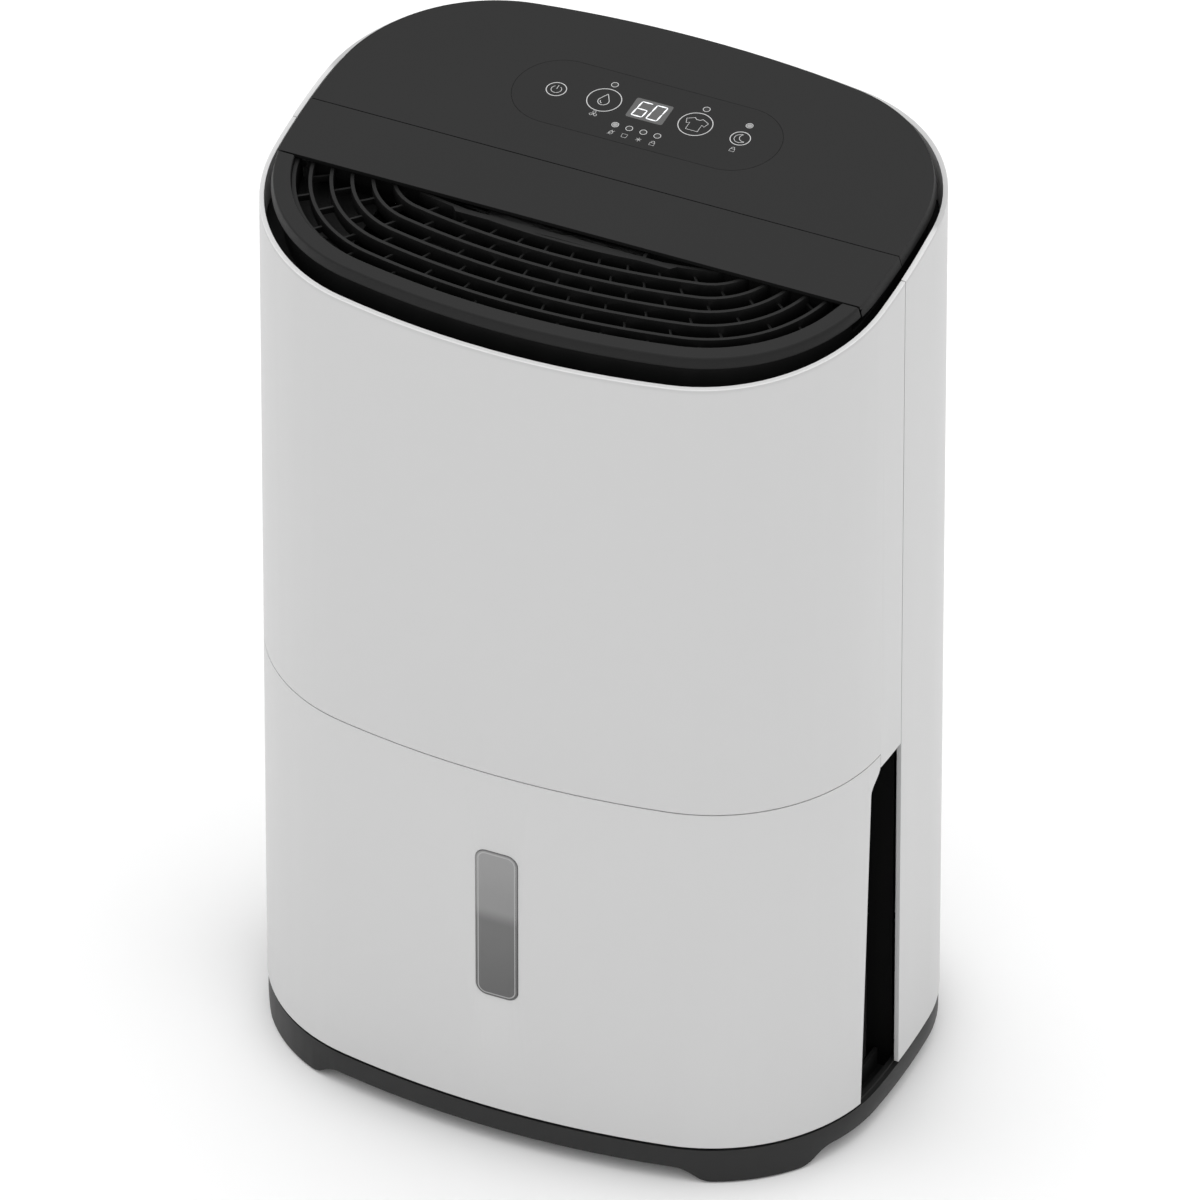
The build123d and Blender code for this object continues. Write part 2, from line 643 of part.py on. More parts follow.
seam_low_z = SEAM_Z - GAP / 2


def window_outline(margin=0.0):
    """The level window's outline, in an upright sketch that faces the front."""
    with Locations((WINDOW_X, (WINDOW_LOW_Z + WINDOW_HIGH_Z) / 2)):
        RectangleRounded(WINDOW_W + 2 * margin, WINDOW_HIGH_Z - WINDOW_LOW_Z + 2 * margin,
                         WINDOW_R + margin)


with BuildPart() as tank_front:
    with BuildSketch(Plane.XY.offset(FRONT_BOTTOM_Z)):
        ring(0, SHELL_T)
        with Locations((0, BODY_D / 2 + APRON_Y - GAP)):
            Rectangle(BODY_W, BODY_D, mode=Mode.SUBTRACT)
    extrude(amount=seam_low_z - FRONT_BOTTOM_Z)
    with BuildSketch(Plane.YZ.offset(-BODY_W)):
        with BuildLine():
            Polyline((RECESS_HIGH_Y, RECESS_HIGH_Z), (RECESS_LOW_Y, FRONT_BOTTOM_Z - 1),
                     (0, FRONT_BOTTOM_Z - 1), (0, APRON_Z - GAP / 2),
                     (APRON_Y - GAP, APRON_Z - GAP / 2))
            Spline((APRON_Y - GAP, APRON_Z - GAP / 2), (RECESS_HIGH_Y, RECESS_HIGH_Z),
                   tangents=((-0.5, -1), (-0.05, -1)))
        make_face()
    extrude(amount=2 * BODY_W, mode=Mode.SUBTRACT)
    with BuildSketch(Plane.XZ):
        window_outline(WINDOW_FIT)
    extrude(amount=BODY_D, mode=Mode.SUBTRACT)
save(tank_front, "tank_front")

with BuildPart() as tank_window:
    with BuildSketch(Plane.XY.offset(WINDOW_LOW_Z - 1)):
        ring(-WINDOW_PROUD, WINDOW_T)
    extrude(amount=WINDOW_HIGH_Z - WINDOW_LOW_Z + 2)
    with BuildSketch(Plane.XZ):
        window_outline()
    extrude(amount=BODY_D, mode=Mode.INTERSECT)
save(tank_window, "tank_window")


def tank_outline(inset=0.0, mode=Mode.ADD):
    """The tank's plan: the body plan drawn in, with a straight back."""
    with BuildSketch(mode=Mode.PRIVATE) as shape:
        plan(TANK_INSET + inset)
        with Locations((0, BODY_D / 2 + TANK_BACK_Y - inset)):
            Rectangle(BODY_W, BODY_D, mode=Mode.SUBTRACT)
        fillet(shape.vertices().group_by(Axis.Y)[-1], TANK_CORNER_R - inset)
    add(shape.sketch, mode=mode)


with BuildPart() as water_tank:
    with BuildSketch(Plane.XY.offset(TANK_FLOOR_Z)):
        tank_outline()
    extrude(amount=TANK_TOP_Z - TANK_FLOOR_Z)
    with BuildSketch(Plane.XY.offset(TANK_FLOOR_Z + TANK_T)):
        tank_outline(TANK_T)
    extrude(amount=TANK_TOP_Z - TANK_FLOOR_Z, mode=Mode.SUBTRACT)
    for side in (-1, 1):
        for tie_z in TIE_LEVELS:
            with BuildSketch(Plane.XY.offset(tie_z)):
                with Locations((side * TIE_X, -BODY_D / 4)):
                    Rectangle(TIE_W, BODY_D / 2)
                plan(SHELL_T, Mode.INTERSECT)
                plan(TANK_INSET + TANK_T / 2, Mode.SUBTRACT)
            extrude(amount=TANK_T)
    ear_span = FLOAT_GAP_X / 2 + RUN_GAP
    for side in (-1, 1):
        ear_x = FLOAT_X + side * (ear_span + FLOAT_EAR_T / 2)
        add_box((ear_x - FLOAT_EAR_T / 2, ear_x + FLOAT_EAR_T / 2),
                (FLOAT_HINGE_Y - 5, TANK_BACK_Y - TANK_T / 2),
                (FLOAT_HINGE_Z - 6, FLOAT_HINGE_Z + 6))
    with BuildSketch(Plane.YZ.offset(FLOAT_X - 3 * FLOAT_GAP_X)) as pin_hole:
        with Locations((FLOAT_HINGE_Y, FLOAT_HINGE_Z)):
            Circle(FLOAT_PIN_R)
    extrude(pin_hole.sketch, amount=6 * FLOAT_GAP_X, mode=Mode.SUBTRACT)
save(water_tank, "water_tank")

with BuildPart() as tank_lid:
    with BuildSketch(Plane.XY.offset(TANK_TOP_Z)):
        tank_outline()
    extrude(amount=TANK_LID_T)
    with BuildSketch(Plane.XY.offset(TANK_TOP_Z - TANK_LID_LIP)):
        tank_outline(TANK_T + LIP_FIT)
        tank_outline(TANK_T + LIP_FIT + LIP_T, Mode.SUBTRACT)
    extrude(amount=TANK_LID_LIP)
    post(INLET_X, INLET_Y, TANK_TOP_Z - 5, TANK_TOP_Z + 5, INLET_R, Mode.SUBTRACT)
    post(-TIE_X, -BODY_D / 3, TANK_TOP_Z - 5, TANK_TOP_Z + 5, POUR_R, Mode.SUBTRACT)
    with BuildSketch(Plane.XY.offset(TANK_TOP_Z + TANK_LID_T)):
        with Locations((INLET_X, INLET_Y)):
            Circle(INLET_R + COLLAR_T)
            Circle(INLET_R, mode=Mode.SUBTRACT)
    extrude(amount=COLLAR_H)
save(tank_lid, "tank_lid")

FLOAT_L = 46.0
FLOAT_W = 30.0
FLOAT_H = 16.0
FLOAT_ARM_T = 4.0
FLOAT_REACH = 12.0        # from the hinge to the float
HINGE_EYE_R = 4.5
FLOAT_CORNER_R = 5.0
float_front_y = FLOAT_HINGE_Y - FLOAT_REACH - FLOAT_L
FLOAT_DROP = 14.0         # top of the float under its hinge

with BuildPart() as tank_float:
    with BuildSketch(Plane.YZ.offset(FLOAT_X - FLOAT_GAP_X / 2)):
        with Locations((FLOAT_HINGE_Y, FLOAT_HINGE_Z)):
            Circle(HINGE_EYE_R)
        with Locations((FLOAT_HINGE_Y - 6, FLOAT_HINGE_Z - 6)):
            Rectangle(18, FLOAT_ARM_T, rotation=45)
    extrude(amount=FLOAT_GAP_X)
    with BuildSketch(Plane.YZ.offset(FLOAT_X - FLOAT_GAP_X)):
        with Locations((FLOAT_HINGE_Y, FLOAT_HINGE_Z)):
            Circle(FLOAT_PIN_R + BEARING_GAP)
    extrude(amount=2 * FLOAT_GAP_X, mode=Mode.SUBTRACT)
    with BuildSketch(Plane.XY.offset(FLOAT_HINGE_Z - FLOAT_DROP - FLOAT_H)):
        with Locations((FLOAT_X, float_front_y + FLOAT_L / 2)):
            RectangleRounded(FLOAT_W, FLOAT_L, FLOAT_CORNER_R)
    extrude(amount=FLOAT_H)
    add_box((FLOAT_X - FLOAT_GAP_X / 2, FLOAT_X + FLOAT_GAP_X / 2),
            (float_front_y + FLOAT_L - 8, float_front_y + FLOAT_L + 4),
            (FLOAT_HINGE_Z - FLOAT_DROP - 4, FLOAT_HINGE_Z - 8))
save(tank_float, "tank_float")

with BuildPart() as float_pin:
    with BuildSketch(Plane.YZ.offset(FLOAT_X - ear_span - FLOAT_EAR_T)):
        with Locations((FLOAT_HINGE_Y, FLOAT_HINGE_Z)):
            Circle(FLOAT_PIN_R)
    extrude(amount=2 * (ear_span + FLOAT_EAR_T))
save(float_pin, "float_pin")

# ---- chassis: bulkhead behind the tank and the shelf over it ----
EVAPORATOR_Y = (BODY_D / 2 - 51, BODY_D / 2 - 31)
CONDENSER_Y = (BODY_D / 2 - 79, BODY_D / 2 - 59)
CHASSIS_INSET = 4.0
DRIP_HOLE_R = 9.0
PIPE_X = -113.0           # where the pipes pass the shelf
PIPE_SLOT_HALF_W = 7.0
COMPRESSOR_R = 45.0

with BuildPart() as chassis:
    with BuildSketch(Plane.XY.offset(SHELF_Z)):
        plan(CHASSIS_INSET)
    extrude(amount=SHELF_T)
    with BuildSketch(Plane.XY.offset(base_floor_top)) as wall_area:
        plan(CHASSIS_INSET + 3)
        with Locations((0, BULKHEAD_Y + BULKHEAD_T / 2)):
            Rectangle(BODY_W, BULKHEAD_T, mode=Mode.INTERSECT)
    extrude(amount=SHELF_Z - base_floor_top)
    post(INLET_X, INLET_Y, SHELF_Z - 1, SHELF_Z + SHELF_T + 1, DRIP_HOLE_R, Mode.SUBTRACT)
    cut_box((PIPE_X - PIPE_SLOT_HALF_W, PIPE_X + PIPE_SLOT_HALF_W),
            (CONDENSER_Y[0], EVAPORATOR_Y[1]), (SHELF_Z - 1, SHELF_Z + SHELF_T + 1))
save(chassis, "chassis")

# ---- compressor ----
PLATE_Z = base_floor_top + GROMMET_H
PLATE_T = 3.0
PLATE_LUG = 2.0           # metal round each grommet
CAN_NECK_H = 8.0          # narrow foot under the can
CAN_NECK_STEP = 6.0
NUT_R = 4.4
NUT_T = 1.0
BOLT_GAP = 0.2
CAN_TOP_Z = 176.0
DOME_H = 14.0

with BuildPart() as compressor_grommets:
    for gx, gy in grommet_places():
        post(gx, gy, base_floor_top, PLATE_Z, GROMMET_R)
        post(gx, gy, base_floor_top - 1, PLATE_Z + 1, BOLT_R + BOLT_GAP, Mode.SUBTRACT)
save(compressor_grommets, "compressor_grommets")

with BuildPart() as compressor:
    with BuildSketch(Plane.XY.offset(PLATE_Z)):
        for gx, gy in grommet_places():
            with Locations((gx, gy)):
                Circle(GROMMET_R + PLATE_LUG)
        with Locations((COMPRESSOR_X, COMPRESSOR_Y)):
            Circle(COMPRESSOR_R - CAN_NECK_STEP)
        for gx, gy in grommet_places():
            with Locations((gx, gy)):
                Circle(BOLT_R + BOLT_GAP, mode=Mode.SUBTRACT)
    extrude(amount=PLATE_T)
    with BuildSketch(Plane.XY.offset(PLATE_Z + PLATE_T)):
        with Locations((COMPRESSOR_X, COMPRESSOR_Y)):
            Circle(COMPRESSOR_R - CAN_NECK_STEP)
    extrude(amount=CAN_NECK_H)
    with BuildSketch(Plane.XY.offset(PLATE_Z + PLATE_T + CAN_NECK_H)):
        with Locations((COMPRESSOR_X, COMPRESSOR_Y)):
            Circle(COMPRESSOR_R)
    extrude(amount=CAN_TOP_Z - PLATE_Z - PLATE_T - CAN_NECK_H)
    fillet(compressor.faces().sort_by(Axis.Z)[-1].edges(), DOME_H)
save(compressor, "compressor")

with BuildPart() as compressor_nuts:
    for gx, gy in grommet_places():
        with BuildSketch(Plane.XY.offset(PLATE_Z + PLATE_T)):
            with Locations((gx, gy)):
                RegularPolygon(NUT_R, 6)
                Circle(BOLT_R, mode=Mode.SUBTRACT)
        extrude(amount=NUT_T)
save(compressor_nuts, "compressor_nuts")

ACCUMULATOR_X = 28.0
ACCUMULATOR_Y = 66.0
ACCUMULATOR_R = 17.0
ACCUMULATOR_Z = (70.0, 165.0)
ACCUMULATOR_ROUND = 8.0
ACCUMULATOR_STUB_Z = 110.0
ACCUMULATOR_STUB_R = 6.0
with BuildPart() as accumulator:
    post(ACCUMULATOR_X, ACCUMULATOR_Y, *ACCUMULATOR_Z, ACCUMULATOR_R)
    fillet(accumulator.edges().filter_by(GeomType.CIRCLE), ACCUMULATOR_ROUND)
    along_y(ACCUMULATOR_X, ACCUMULATOR_STUB_Z, BULKHEAD_Y + BULKHEAD_T,
            ACCUMULATOR_Y - ACCUMULATOR_R + 3, ACCUMULATOR_STUB_R)
save(accumulator, "accumulator")

# ---- heat exchangers ----
COIL_HALF_W = 98.0
COIL_LOW_Z = 262.0
COIL_HIGH_Z = LID_Z - 65.0
END_PLATE_T = 2.0
END_PLATE_LOW_Z = 243.5
TUBE_R = 3.5
TUBE_ROWS = 8
tube_pitch = (COIL_HIGH_Z - COIL_LOW_Z) / TUBE_ROWS
tube_rows_z = [COIL_LOW_Z + tube_pitch * (row + 0.5) for row in range(TUBE_ROWS)]


def coil(name, y_range):
    """A finned block between end plates, with return bends along each side."""
    middle = sum(y_range) / 2
    with BuildPart() as block:
        add_box((-COIL_HALF_W, COIL_HALF_W), y_range, (COIL_LOW_Z, COIL_HIGH_Z))
        for side in (-1, 1):
            inner, outer = sorted((side * COIL_HALF_W, side * (COIL_HALF_W + END_PLATE_T)))
            add_box((inner, outer), y_range, (END_PLATE_LOW_Z, COIL_HIGH_Z + 3))
            first = 0 if side > 0 else 1
            for row in range(first, TUBE_ROWS - 1, 2):
                centre = Vector(side * (COIL_HALF_W + END_PLATE_T), middle,
                                (tube_rows_z[row] + tube_rows_z[row + 1]) / 2)
                with BuildSketch(Plane(origin=centre, x_dir=(0, 1, 0),
                                       z_dir=(side, 0, 0))) as bend_end:
                    with Locations((0, side * tube_pitch / 2)):
                        Circle(TUBE_R)
                revolve(bend_end.sketch, axis=Axis(centre, (0, side, 0)), revolution_arc=180)
    save(block, name)


coil("evaporator", EVAPORATOR_Y)
coil("condenser", CONDENSER_Y)

# ---- drip tray ----
TRAY_HALF_W = 106.0
TRAY_Y = (CONDENSER_Y[0] - 4, EVAPORATOR_Y[1] + 4)
TRAY_Z = SHELF_Z + SHELF_T
TRAY_T = 2.5
TRAY_H = 15.0
CHUTE_HALF_W = 12.0
CHUTE_H = 7.0

with BuildPart() as drip_tray:
    add_box((-TRAY_HALF_W, TRAY_HALF_W), TRAY_Y, (TRAY_Z, TRAY_Z + TRAY_H))
    add_box((INLET_X - CHUTE_HALF_W, INLET_X + CHUTE_HALF_W), (INLET_Y - 14, TRAY_Y[0] + 1),
            (TRAY_Z, TRAY_Z + CHUTE_H))
    cut_box((-TRAY_HALF_W + TRAY_T, TRAY_HALF_W - TRAY_T),
            (TRAY_Y[0] + TRAY_T, TRAY_Y[1] - TRAY_T), (TRAY_Z + TRAY_T, TRAY_Z + TRAY_H + 1))
    cut_box((INLET_X - CHUTE_HALF_W + 2, INLET_X + CHUTE_HALF_W - 2),
            (INLET_Y - 12, TRAY_Y[0] + TRAY_T + 1), (TRAY_Z + TRAY_T, TRAY_Z + CHUTE_H + 1))
    post(INLET_X, INLET_Y, SHELF_Z - 6, TRAY_Z + 1, DRIP_HOLE_R - 0.5)
    post(INLET_X, INLET_Y, SHELF_Z - 7, TRAY_Z + TRAY_T + 1, DRIP_HOLE_R - 2.5, Mode.SUBTRACT)
save(drip_tray, "drip_tray")

# ---- fan ----
ROTOR_R = 74.0
BLADE_L = 14.0
ROTOR_INNER_R = ROTOR_R - BLADE_L
SCROLL_GAP = 14.0         # from the rotor to the scroll round it
SCROLL_R = ROTOR_R + SCROLL_GAP
EYE_R = ROTOR_INNER_R + 2
FAN_BOX_MARGIN = 14.0     # from the scroll to the sides of the box
FAN_BOX_HALF_W = SCROLL_R + FAN_BOX_MARGIN
FAN_BOX_LOW_Z = SHELF_Z + SHELF_T + 13
FAN_BOX_FOOT = 20.0       # from the underside of the box to the scroll
FAN_BOX_Z = (FAN_BOX_LOW_Z, LID_Z - 33)
FAN_X = 0.0
FAN_Z = FAN_BOX_LOW_Z + FAN_BOX_FOOT + SCROLL_R
FAN_Y = (-90.0, -30.0)
FAN_WALL = 2.5
ROTOR_Y = (-84.0, -38.0)
BLADE_COUNT = 36
BLADE_T = 1.6
MOTOR_R = 36.0
MOTOR_Y = (-116.0, -92.0)
SHAFT_R = 4.0
HUB_R = 12.0

with BuildPart() as fan_housing:
    add_box((-FAN_BOX_HALF_W, FAN_BOX_HALF_W), FAN_Y, FAN_BOX_Z)
    along_y(FAN_X, FAN_Z, FAN_Y[0] + FAN_WALL, FAN_Y[1] - FAN_WALL, SCROLL_R, Mode.SUBTRACT)
    cut_box((FAN_X, FAN_BOX_HALF_W - FAN_WALL), (FAN_Y[0] + FAN_WALL, FAN_Y[1] - FAN_WALL),
            (FAN_Z, FAN_BOX_Z[1] + 1))
    cut_box((-FAN_BOX_HALF_W + FAN_WALL, 1), (FAN_Y[0] + FAN_WALL, FAN_Y[1] - FAN_WALL),
            (FAN_Z + SCROLL_R - 6, FAN_BOX_Z[1] + 1))
    along_y(FAN_X, FAN_Z, FAN_Y[1] - FAN_WALL - 1, FAN_Y[1] + 1, EYE_R, Mode.SUBTRACT)
    along_y(FAN_X, FAN_Z, FAN_Y[0] - 1, FAN_Y[0] + FAN_WALL + 1, HUB_R, Mode.SUBTRACT)
    with BuildSketch(Plane.XY.offset(FAN_BOX_Z[0])):
        plan(neck_opening + GAP)
    extrude(amount=FAN_BOX_Z[1] - FAN_BOX_Z[0], mode=Mode.INTERSECT)
save(fan_housing, "fan_housing")

with BuildPart() as fan_rotor:
    along_y(FAN_X, FAN_Z, ROTOR_Y[0], ROTOR_Y[0] + 2.5, ROTOR_R)
    along_y(FAN_X, FAN_Z, ROTOR_Y[0], ROTOR_Y[0] + 22, HUB_R)
    with BuildSketch(Plane.XZ.offset(-ROTOR_Y[1])):
        with Locations((FAN_X, FAN_Z)):
            Circle(ROTOR_R)
            Circle(ROTOR_INNER_R, mode=Mode.SUBTRACT)
    extrude(amount=3)
    with BuildSketch(Plane.XZ.offset(-ROTOR_Y[1])):
        with Locations((FAN_X, FAN_Z)):
            with PolarLocations((ROTOR_R + ROTOR_INNER_R) / 2, BLADE_COUNT):
                Rectangle(BLADE_L - 1, BLADE_T, rotation=32)
    extrude(amount=ROTOR_Y[1] - ROTOR_Y[0] - 1)
    along_y(FAN_X, FAN_Z, ROTOR_Y[0] - 1, ROTOR_Y[0] + 23, SHAFT_R, Mode.SUBTRACT)
save(fan_rotor, "fan_rotor")

with BuildPart() as fan_shaft:
    along_y(FAN_X, FAN_Z, MOTOR_Y[0] + 4, ROTOR_Y[0] + 22, SHAFT_R)
save(fan_shaft, "fan_shaft")

MOTOR_LUG_R = 50.0
with BuildPart() as fan_motor:
    along_y(FAN_X, FAN_Z, *MOTOR_Y, MOTOR_R)
    fillet(fan_motor.edges().filter_by(GeomType.CIRCLE), 4)
    with BuildSketch(Plane.XZ.offset(-FAN_Y[0])):
        with Locations((FAN_X, FAN_Z)):
            Circle(MOTOR_R - 6)
            with PolarLocations(MOTOR_LUG_R, 4, 45):
                SlotOverall(50, 12)
            with PolarLocations(MOTOR_LUG_R + 12, 4, 45):
                Circle(SCREW_R + 0.1, mode=Mode.SUBTRACT)
    extrude(amount=2.5)
    along_y(FAN_X, FAN_Z, MOTOR_Y[0] + 4 - BEARING_GAP, 0, SHAFT_R + BEARING_GAP, Mode.SUBTRACT)
save(fan_motor, "fan_motor")

with BuildPart() as motor_screws:
    for angle in (45, 135, 225, 315):
        screw_x = FAN_X + (MOTOR_LUG_R + 12) * cos(radians(angle))
        screw_z = FAN_Z + (MOTOR_LUG_R + 12) * sin(radians(angle))
        along_y(screw_x, screw_z, FAN_Y[0] - 5, FAN_Y[0] - 2.5, SCREW_HEAD_R)
        along_y(screw_x, screw_z, FAN_Y[0] - 3, FAN_Y[0], SCREW_R)
save(motor_screws, "motor_screws")

# ---- intake duct from the coils to the fan's eye ----
DUCT_T = 2.0
DUCT_HALF_W = 94.0
DUCT_FRONT_Y = FAN_Y[1]
DUCT_REAR_Y = TRAY_Y[0] - 1
duct_low_z = COIL_LOW_Z + 2

with BuildPart() as intake_duct:
    for shrink, mode in ((0, Mode.ADD), (DUCT_T, Mode.SUBTRACT)):
        reach = 1 if shrink else 0
        with BuildSketch(Plane.XZ.offset(-DUCT_REAR_Y - reach)) as wide_end:
            with Locations((0, (duct_low_z + COIL_HIGH_Z) / 2)):
                RectangleRounded(2 * (DUCT_HALF_W - shrink), COIL_HIGH_Z - duct_low_z - 2 * shrink,
                                 30 - shrink)
        with BuildSketch(Plane.XZ.offset(-DUCT_FRONT_Y + reach)) as round_end:
            with Locations((FAN_X, FAN_Z)):
                RectangleRounded(2 * (EYE_R + 8 - shrink), 2 * (EYE_R + 8 - shrink),
                                 EYE_R + 7 - shrink)
        loft([wide_end.sketch.face(), round_end.sketch.face()], ruled=True, mode=mode)
save(intake_duct, "intake_duct")

# ---- pipes ----
PIPE_R = 3.2


def pipe(name, points, bend):
    """A tube along straight runs with round bends."""
    with BuildPart() as tube:
        with BuildLine() as route:
            FilletPolyline(*points, radius=bend)
        with BuildSketch(Plane(origin=route.line @ 0, z_dir=route.line % 0)):
            Circle(PIPE_R)
        sweep()
    save(tube, name)


coil_end_x = -COIL_HALF_W - END_PLATE_T
evaporator_mid = sum(EVAPORATOR_Y) / 2
condenser_mid = sum(CONDENSER_Y) / 2
DISCHARGE_X = COMPRESSOR_X - 20
DISCHARGE_Z = CAN_TOP_Z + 26
SUCTION_Z = DISCHARGE_Z + 18
PIPE_BEND = 8.0
pipe("discharge_pipe", [(DISCHARGE_X, COMPRESSOR_Y, CAN_TOP_Z),
                        (DISCHARGE_X, COMPRESSOR_Y, DISCHARGE_Z),
                        (PIPE_X, condenser_mid, DISCHARGE_Z),
                        (PIPE_X, condenser_mid, tube_rows_z[0]),
                        (coil_end_x, condenser_mid, tube_rows_z[0])], PIPE_BEND)
pipe("suction_pipe", [(ACCUMULATOR_X, ACCUMULATOR_Y, ACCUMULATOR_Z[1]),
                      (ACCUMULATOR_X, ACCUMULATOR_Y, SUCTION_Z),
                      (PIPE_X, evaporator_mid, SUCTION_Z),
                      (PIPE_X, evaporator_mid, tube_rows_z[0]),
                      (coil_end_x, evaporator_mid, tube_rows_z[0])], PIPE_BEND)

# ---- electronics ----
BOX_X = (74.0, 136.0)
BOX_Y = (BULKHEAD_Y + BULKHEAD_T, 50.0)
BOX_Z = (60.0, 170.0)
with BuildPart() as power_box:
    add_box(BOX_X, BOX_Y, BOX_Z)
    fillet(power_box.edges().filter_by(Axis.Z), 3)
    cut_box((BOX_X[0] + 2, BOX_X[1] - 2), (BOX_Y[0] + 2, BOX_Y[1] + 1), (BOX_Z[0] + 2, BOX_Z[1] - 2))
save(power_box, "power_box")

with BuildPart() as power_board:
    add_box((BOX_X[0] + 4, BOX_X[1] - 4), (BOX_Y[0] + 5, BOX_Y[0] + 6.6),
            (BOX_Z[0] + 4, BOX_Z[1] - 4))
    for bx in (BOX_X[0] + 14, BOX_X[0] + 14 + 24):
        along_y(bx, BOX_Z[0] + 24, BOX_Y[0] + 6, BOX_Y[0] + 30, 8)
    add_box((BOX_X[0] + 10, BOX_X[1] - 20), (BOX_Y[0] + 6, BOX_Y[0] + 26),
            (BOX_Z[0] + 50, BOX_Z[1] - 26))
    for index in range(3):
        post_x = BOX_X[0] + 4
        add_box((post_x + 18 * index, post_x + 18 * index + 4), (BOX_Y[0] + 2, BOX_Y[0] + 5.5),
                (BOX_Z[0] + 6, BOX_Z[0] + 10))
save(power_board, "power_board")

with BuildPart() as power_box_lid:
    add_box(BOX_X, (BOX_Y[1], BOX_Y[1] + 2), BOX_Z)
save(power_box_lid, "power_box_lid")

with BuildPart() as level_switch:
    add_box((FLOAT_X - 9, FLOAT_X + 9), (BULKHEAD_Y + BULKHEAD_T, BULKHEAD_Y + BULKHEAD_T + 9),
            (FLOAT_HINGE_Z, FLOAT_HINGE_Z + 26))
save(level_switch, "level_switch")

# ---- air inlet grille and its filter, which pull off the back together ----
SLOT_PITCH_X = 44.0
SLOT_PITCH_Z = 9.0
SLOT_W = 36.0
SLOT_H = 4.4
SLOT_MARGIN = 10.0        # plain edge around the slots
SLOT_COLUMNS = int((2 * INLET_HALF_W - 2 * SLOT_MARGIN) / SLOT_PITCH_X)
SLOT_ROWS = int((INLET_HIGH_Z - INLET_LOW_Z - 2 * SLOT_MARGIN) / SLOT_PITCH_Z)
FILTER_Y = (BODY_D / 2 - 28, BODY_D / 2 - 24)
FILTER_FRAME_W = 7.0
FILTER_MARGIN = 3.0       # filter frame inside the inlet opening
PEG_R = 3.0
PEG_X = INLET_HALF_W - 8
PEG_RISE = 20.0           # pegs in from the panel's upper and lower edges

with BuildPart() as grille_pegs:
    for side in (-1, 1):
        for peg_z in (INLET_LOW_Z + PEG_RISE, INLET_HIGH_Z - PEG_RISE):
            along_y(side * PEG_X, peg_z, FILTER_Y[1], back_face_y(PEG_X) - SHELL_T / 2, PEG_R)

with BuildPart() as inlet_grille:
    with BuildSketch(Plane.XY.offset(INLET_LOW_Z - 1)):
        ring(0, SHELL_T)
    extrude(amount=INLET_HIGH_Z - INLET_LOW_Z + 2)
    keep_box((-BODY_W, BODY_W), (BODY_D / 4, BODY_D), (0, BODY_W * 2))
    with BuildSketch(Plane.XZ):
        inlet_panel(0)
    extrude(amount=-BODY_D, mode=Mode.INTERSECT)
    with BuildSketch(Plane.XZ):
        with Locations((0, (INLET_LOW_Z + INLET_HIGH_Z) / 2)):
            with GridLocations(SLOT_PITCH_X, SLOT_PITCH_Z, SLOT_COLUMNS, SLOT_ROWS):
                SlotOverall(SLOT_W, SLOT_H)
    extrude(amount=-BODY_D, mode=Mode.SUBTRACT)
    add(grille_pegs.part)
save(inlet_grille, "inlet_grille")

filter_half_w = INLET_HALF_W - FILTER_MARGIN
filter_low_z = INLET_LOW_Z + FILTER_MARGIN
filter_high_z = INLET_HIGH_Z - FILTER_MARGIN
filter_rib_x = [-filter_half_w + 2 * filter_half_w * index / 4 for index in (1, 2, 3)]
with BuildPart() as filter_frame:
    with BuildSketch(Plane.XZ.offset(-FILTER_Y[1])):
        inlet_panel(-FILTER_MARGIN)
    extrude(amount=FILTER_Y[1] - FILTER_Y[0])
    cut_box((-filter_half_w + FILTER_FRAME_W, filter_half_w - FILTER_FRAME_W),
            (FILTER_Y[0] - 1, FILTER_Y[1] + 1),
            (filter_low_z + FILTER_FRAME_W, filter_high_z - FILTER_FRAME_W))
    for rib_x in filter_rib_x:
        add_box((rib_x - 1.5, rib_x + 1.5), (FILTER_Y[0] + 1.5, FILTER_Y[1]),
                (filter_low_z + 2, filter_high_z - 2))
save(filter_frame, "filter_frame")

with BuildPart() as filter_mesh:
    add_box((-filter_half_w + FILTER_FRAME_W, filter_half_w - FILTER_FRAME_W),
            (FILTER_Y[0] + 0.5, FILTER_Y[0] + 1.5),
            (filter_low_z + FILTER_FRAME_W, filter_high_z - FILTER_FRAME_W))
save(filter_mesh, "filter_mesh")

# ---- drain spout, its plug and the cable gland ----
SPOUT_BORE_R = 6.0
SPOUT_TUBE_R = 8.5
SPOUT_Y = (BODY_D / 2 - 55, BODY_D / 2 - 11)
PLUG_GAP = 0.05
with BuildPart() as drain_spout:
    along_y(SPOUT_X, SPOUT_Z, *SPOUT_Y, SPOUT_TUBE_R)
    post(SPOUT_X, SPOUT_Y[0] + 10, SPOUT_Z, SHELF_Z, 7)
    along_y(SPOUT_X, SPOUT_Z, SPOUT_Y[0] + 4, SPOUT_Y[1] + 1, SPOUT_BORE_R, Mode.SUBTRACT)
save(drain_spout, "drain_spout")

with BuildPart() as drain_plug:
    along_y(SPOUT_X, SPOUT_Z, SPOUT_Y[1] - 16, SPOUT_Y[1] + 0.3, SPOUT_BORE_R - PLUG_GAP)
    along_y(SPOUT_X, SPOUT_Z, SPOUT_Y[1] + 0.3, SPOUT_Y[1] + 3.3, SPOUT_TUBE_R)
    add_box((SPOUT_X - 2, SPOUT_X + 2), (SPOUT_Y[1] + 3, SPOUT_Y[1] + 8),
            (SPOUT_Z - 6, SPOUT_Z + 6))
save(drain_plug, "drain_plug")

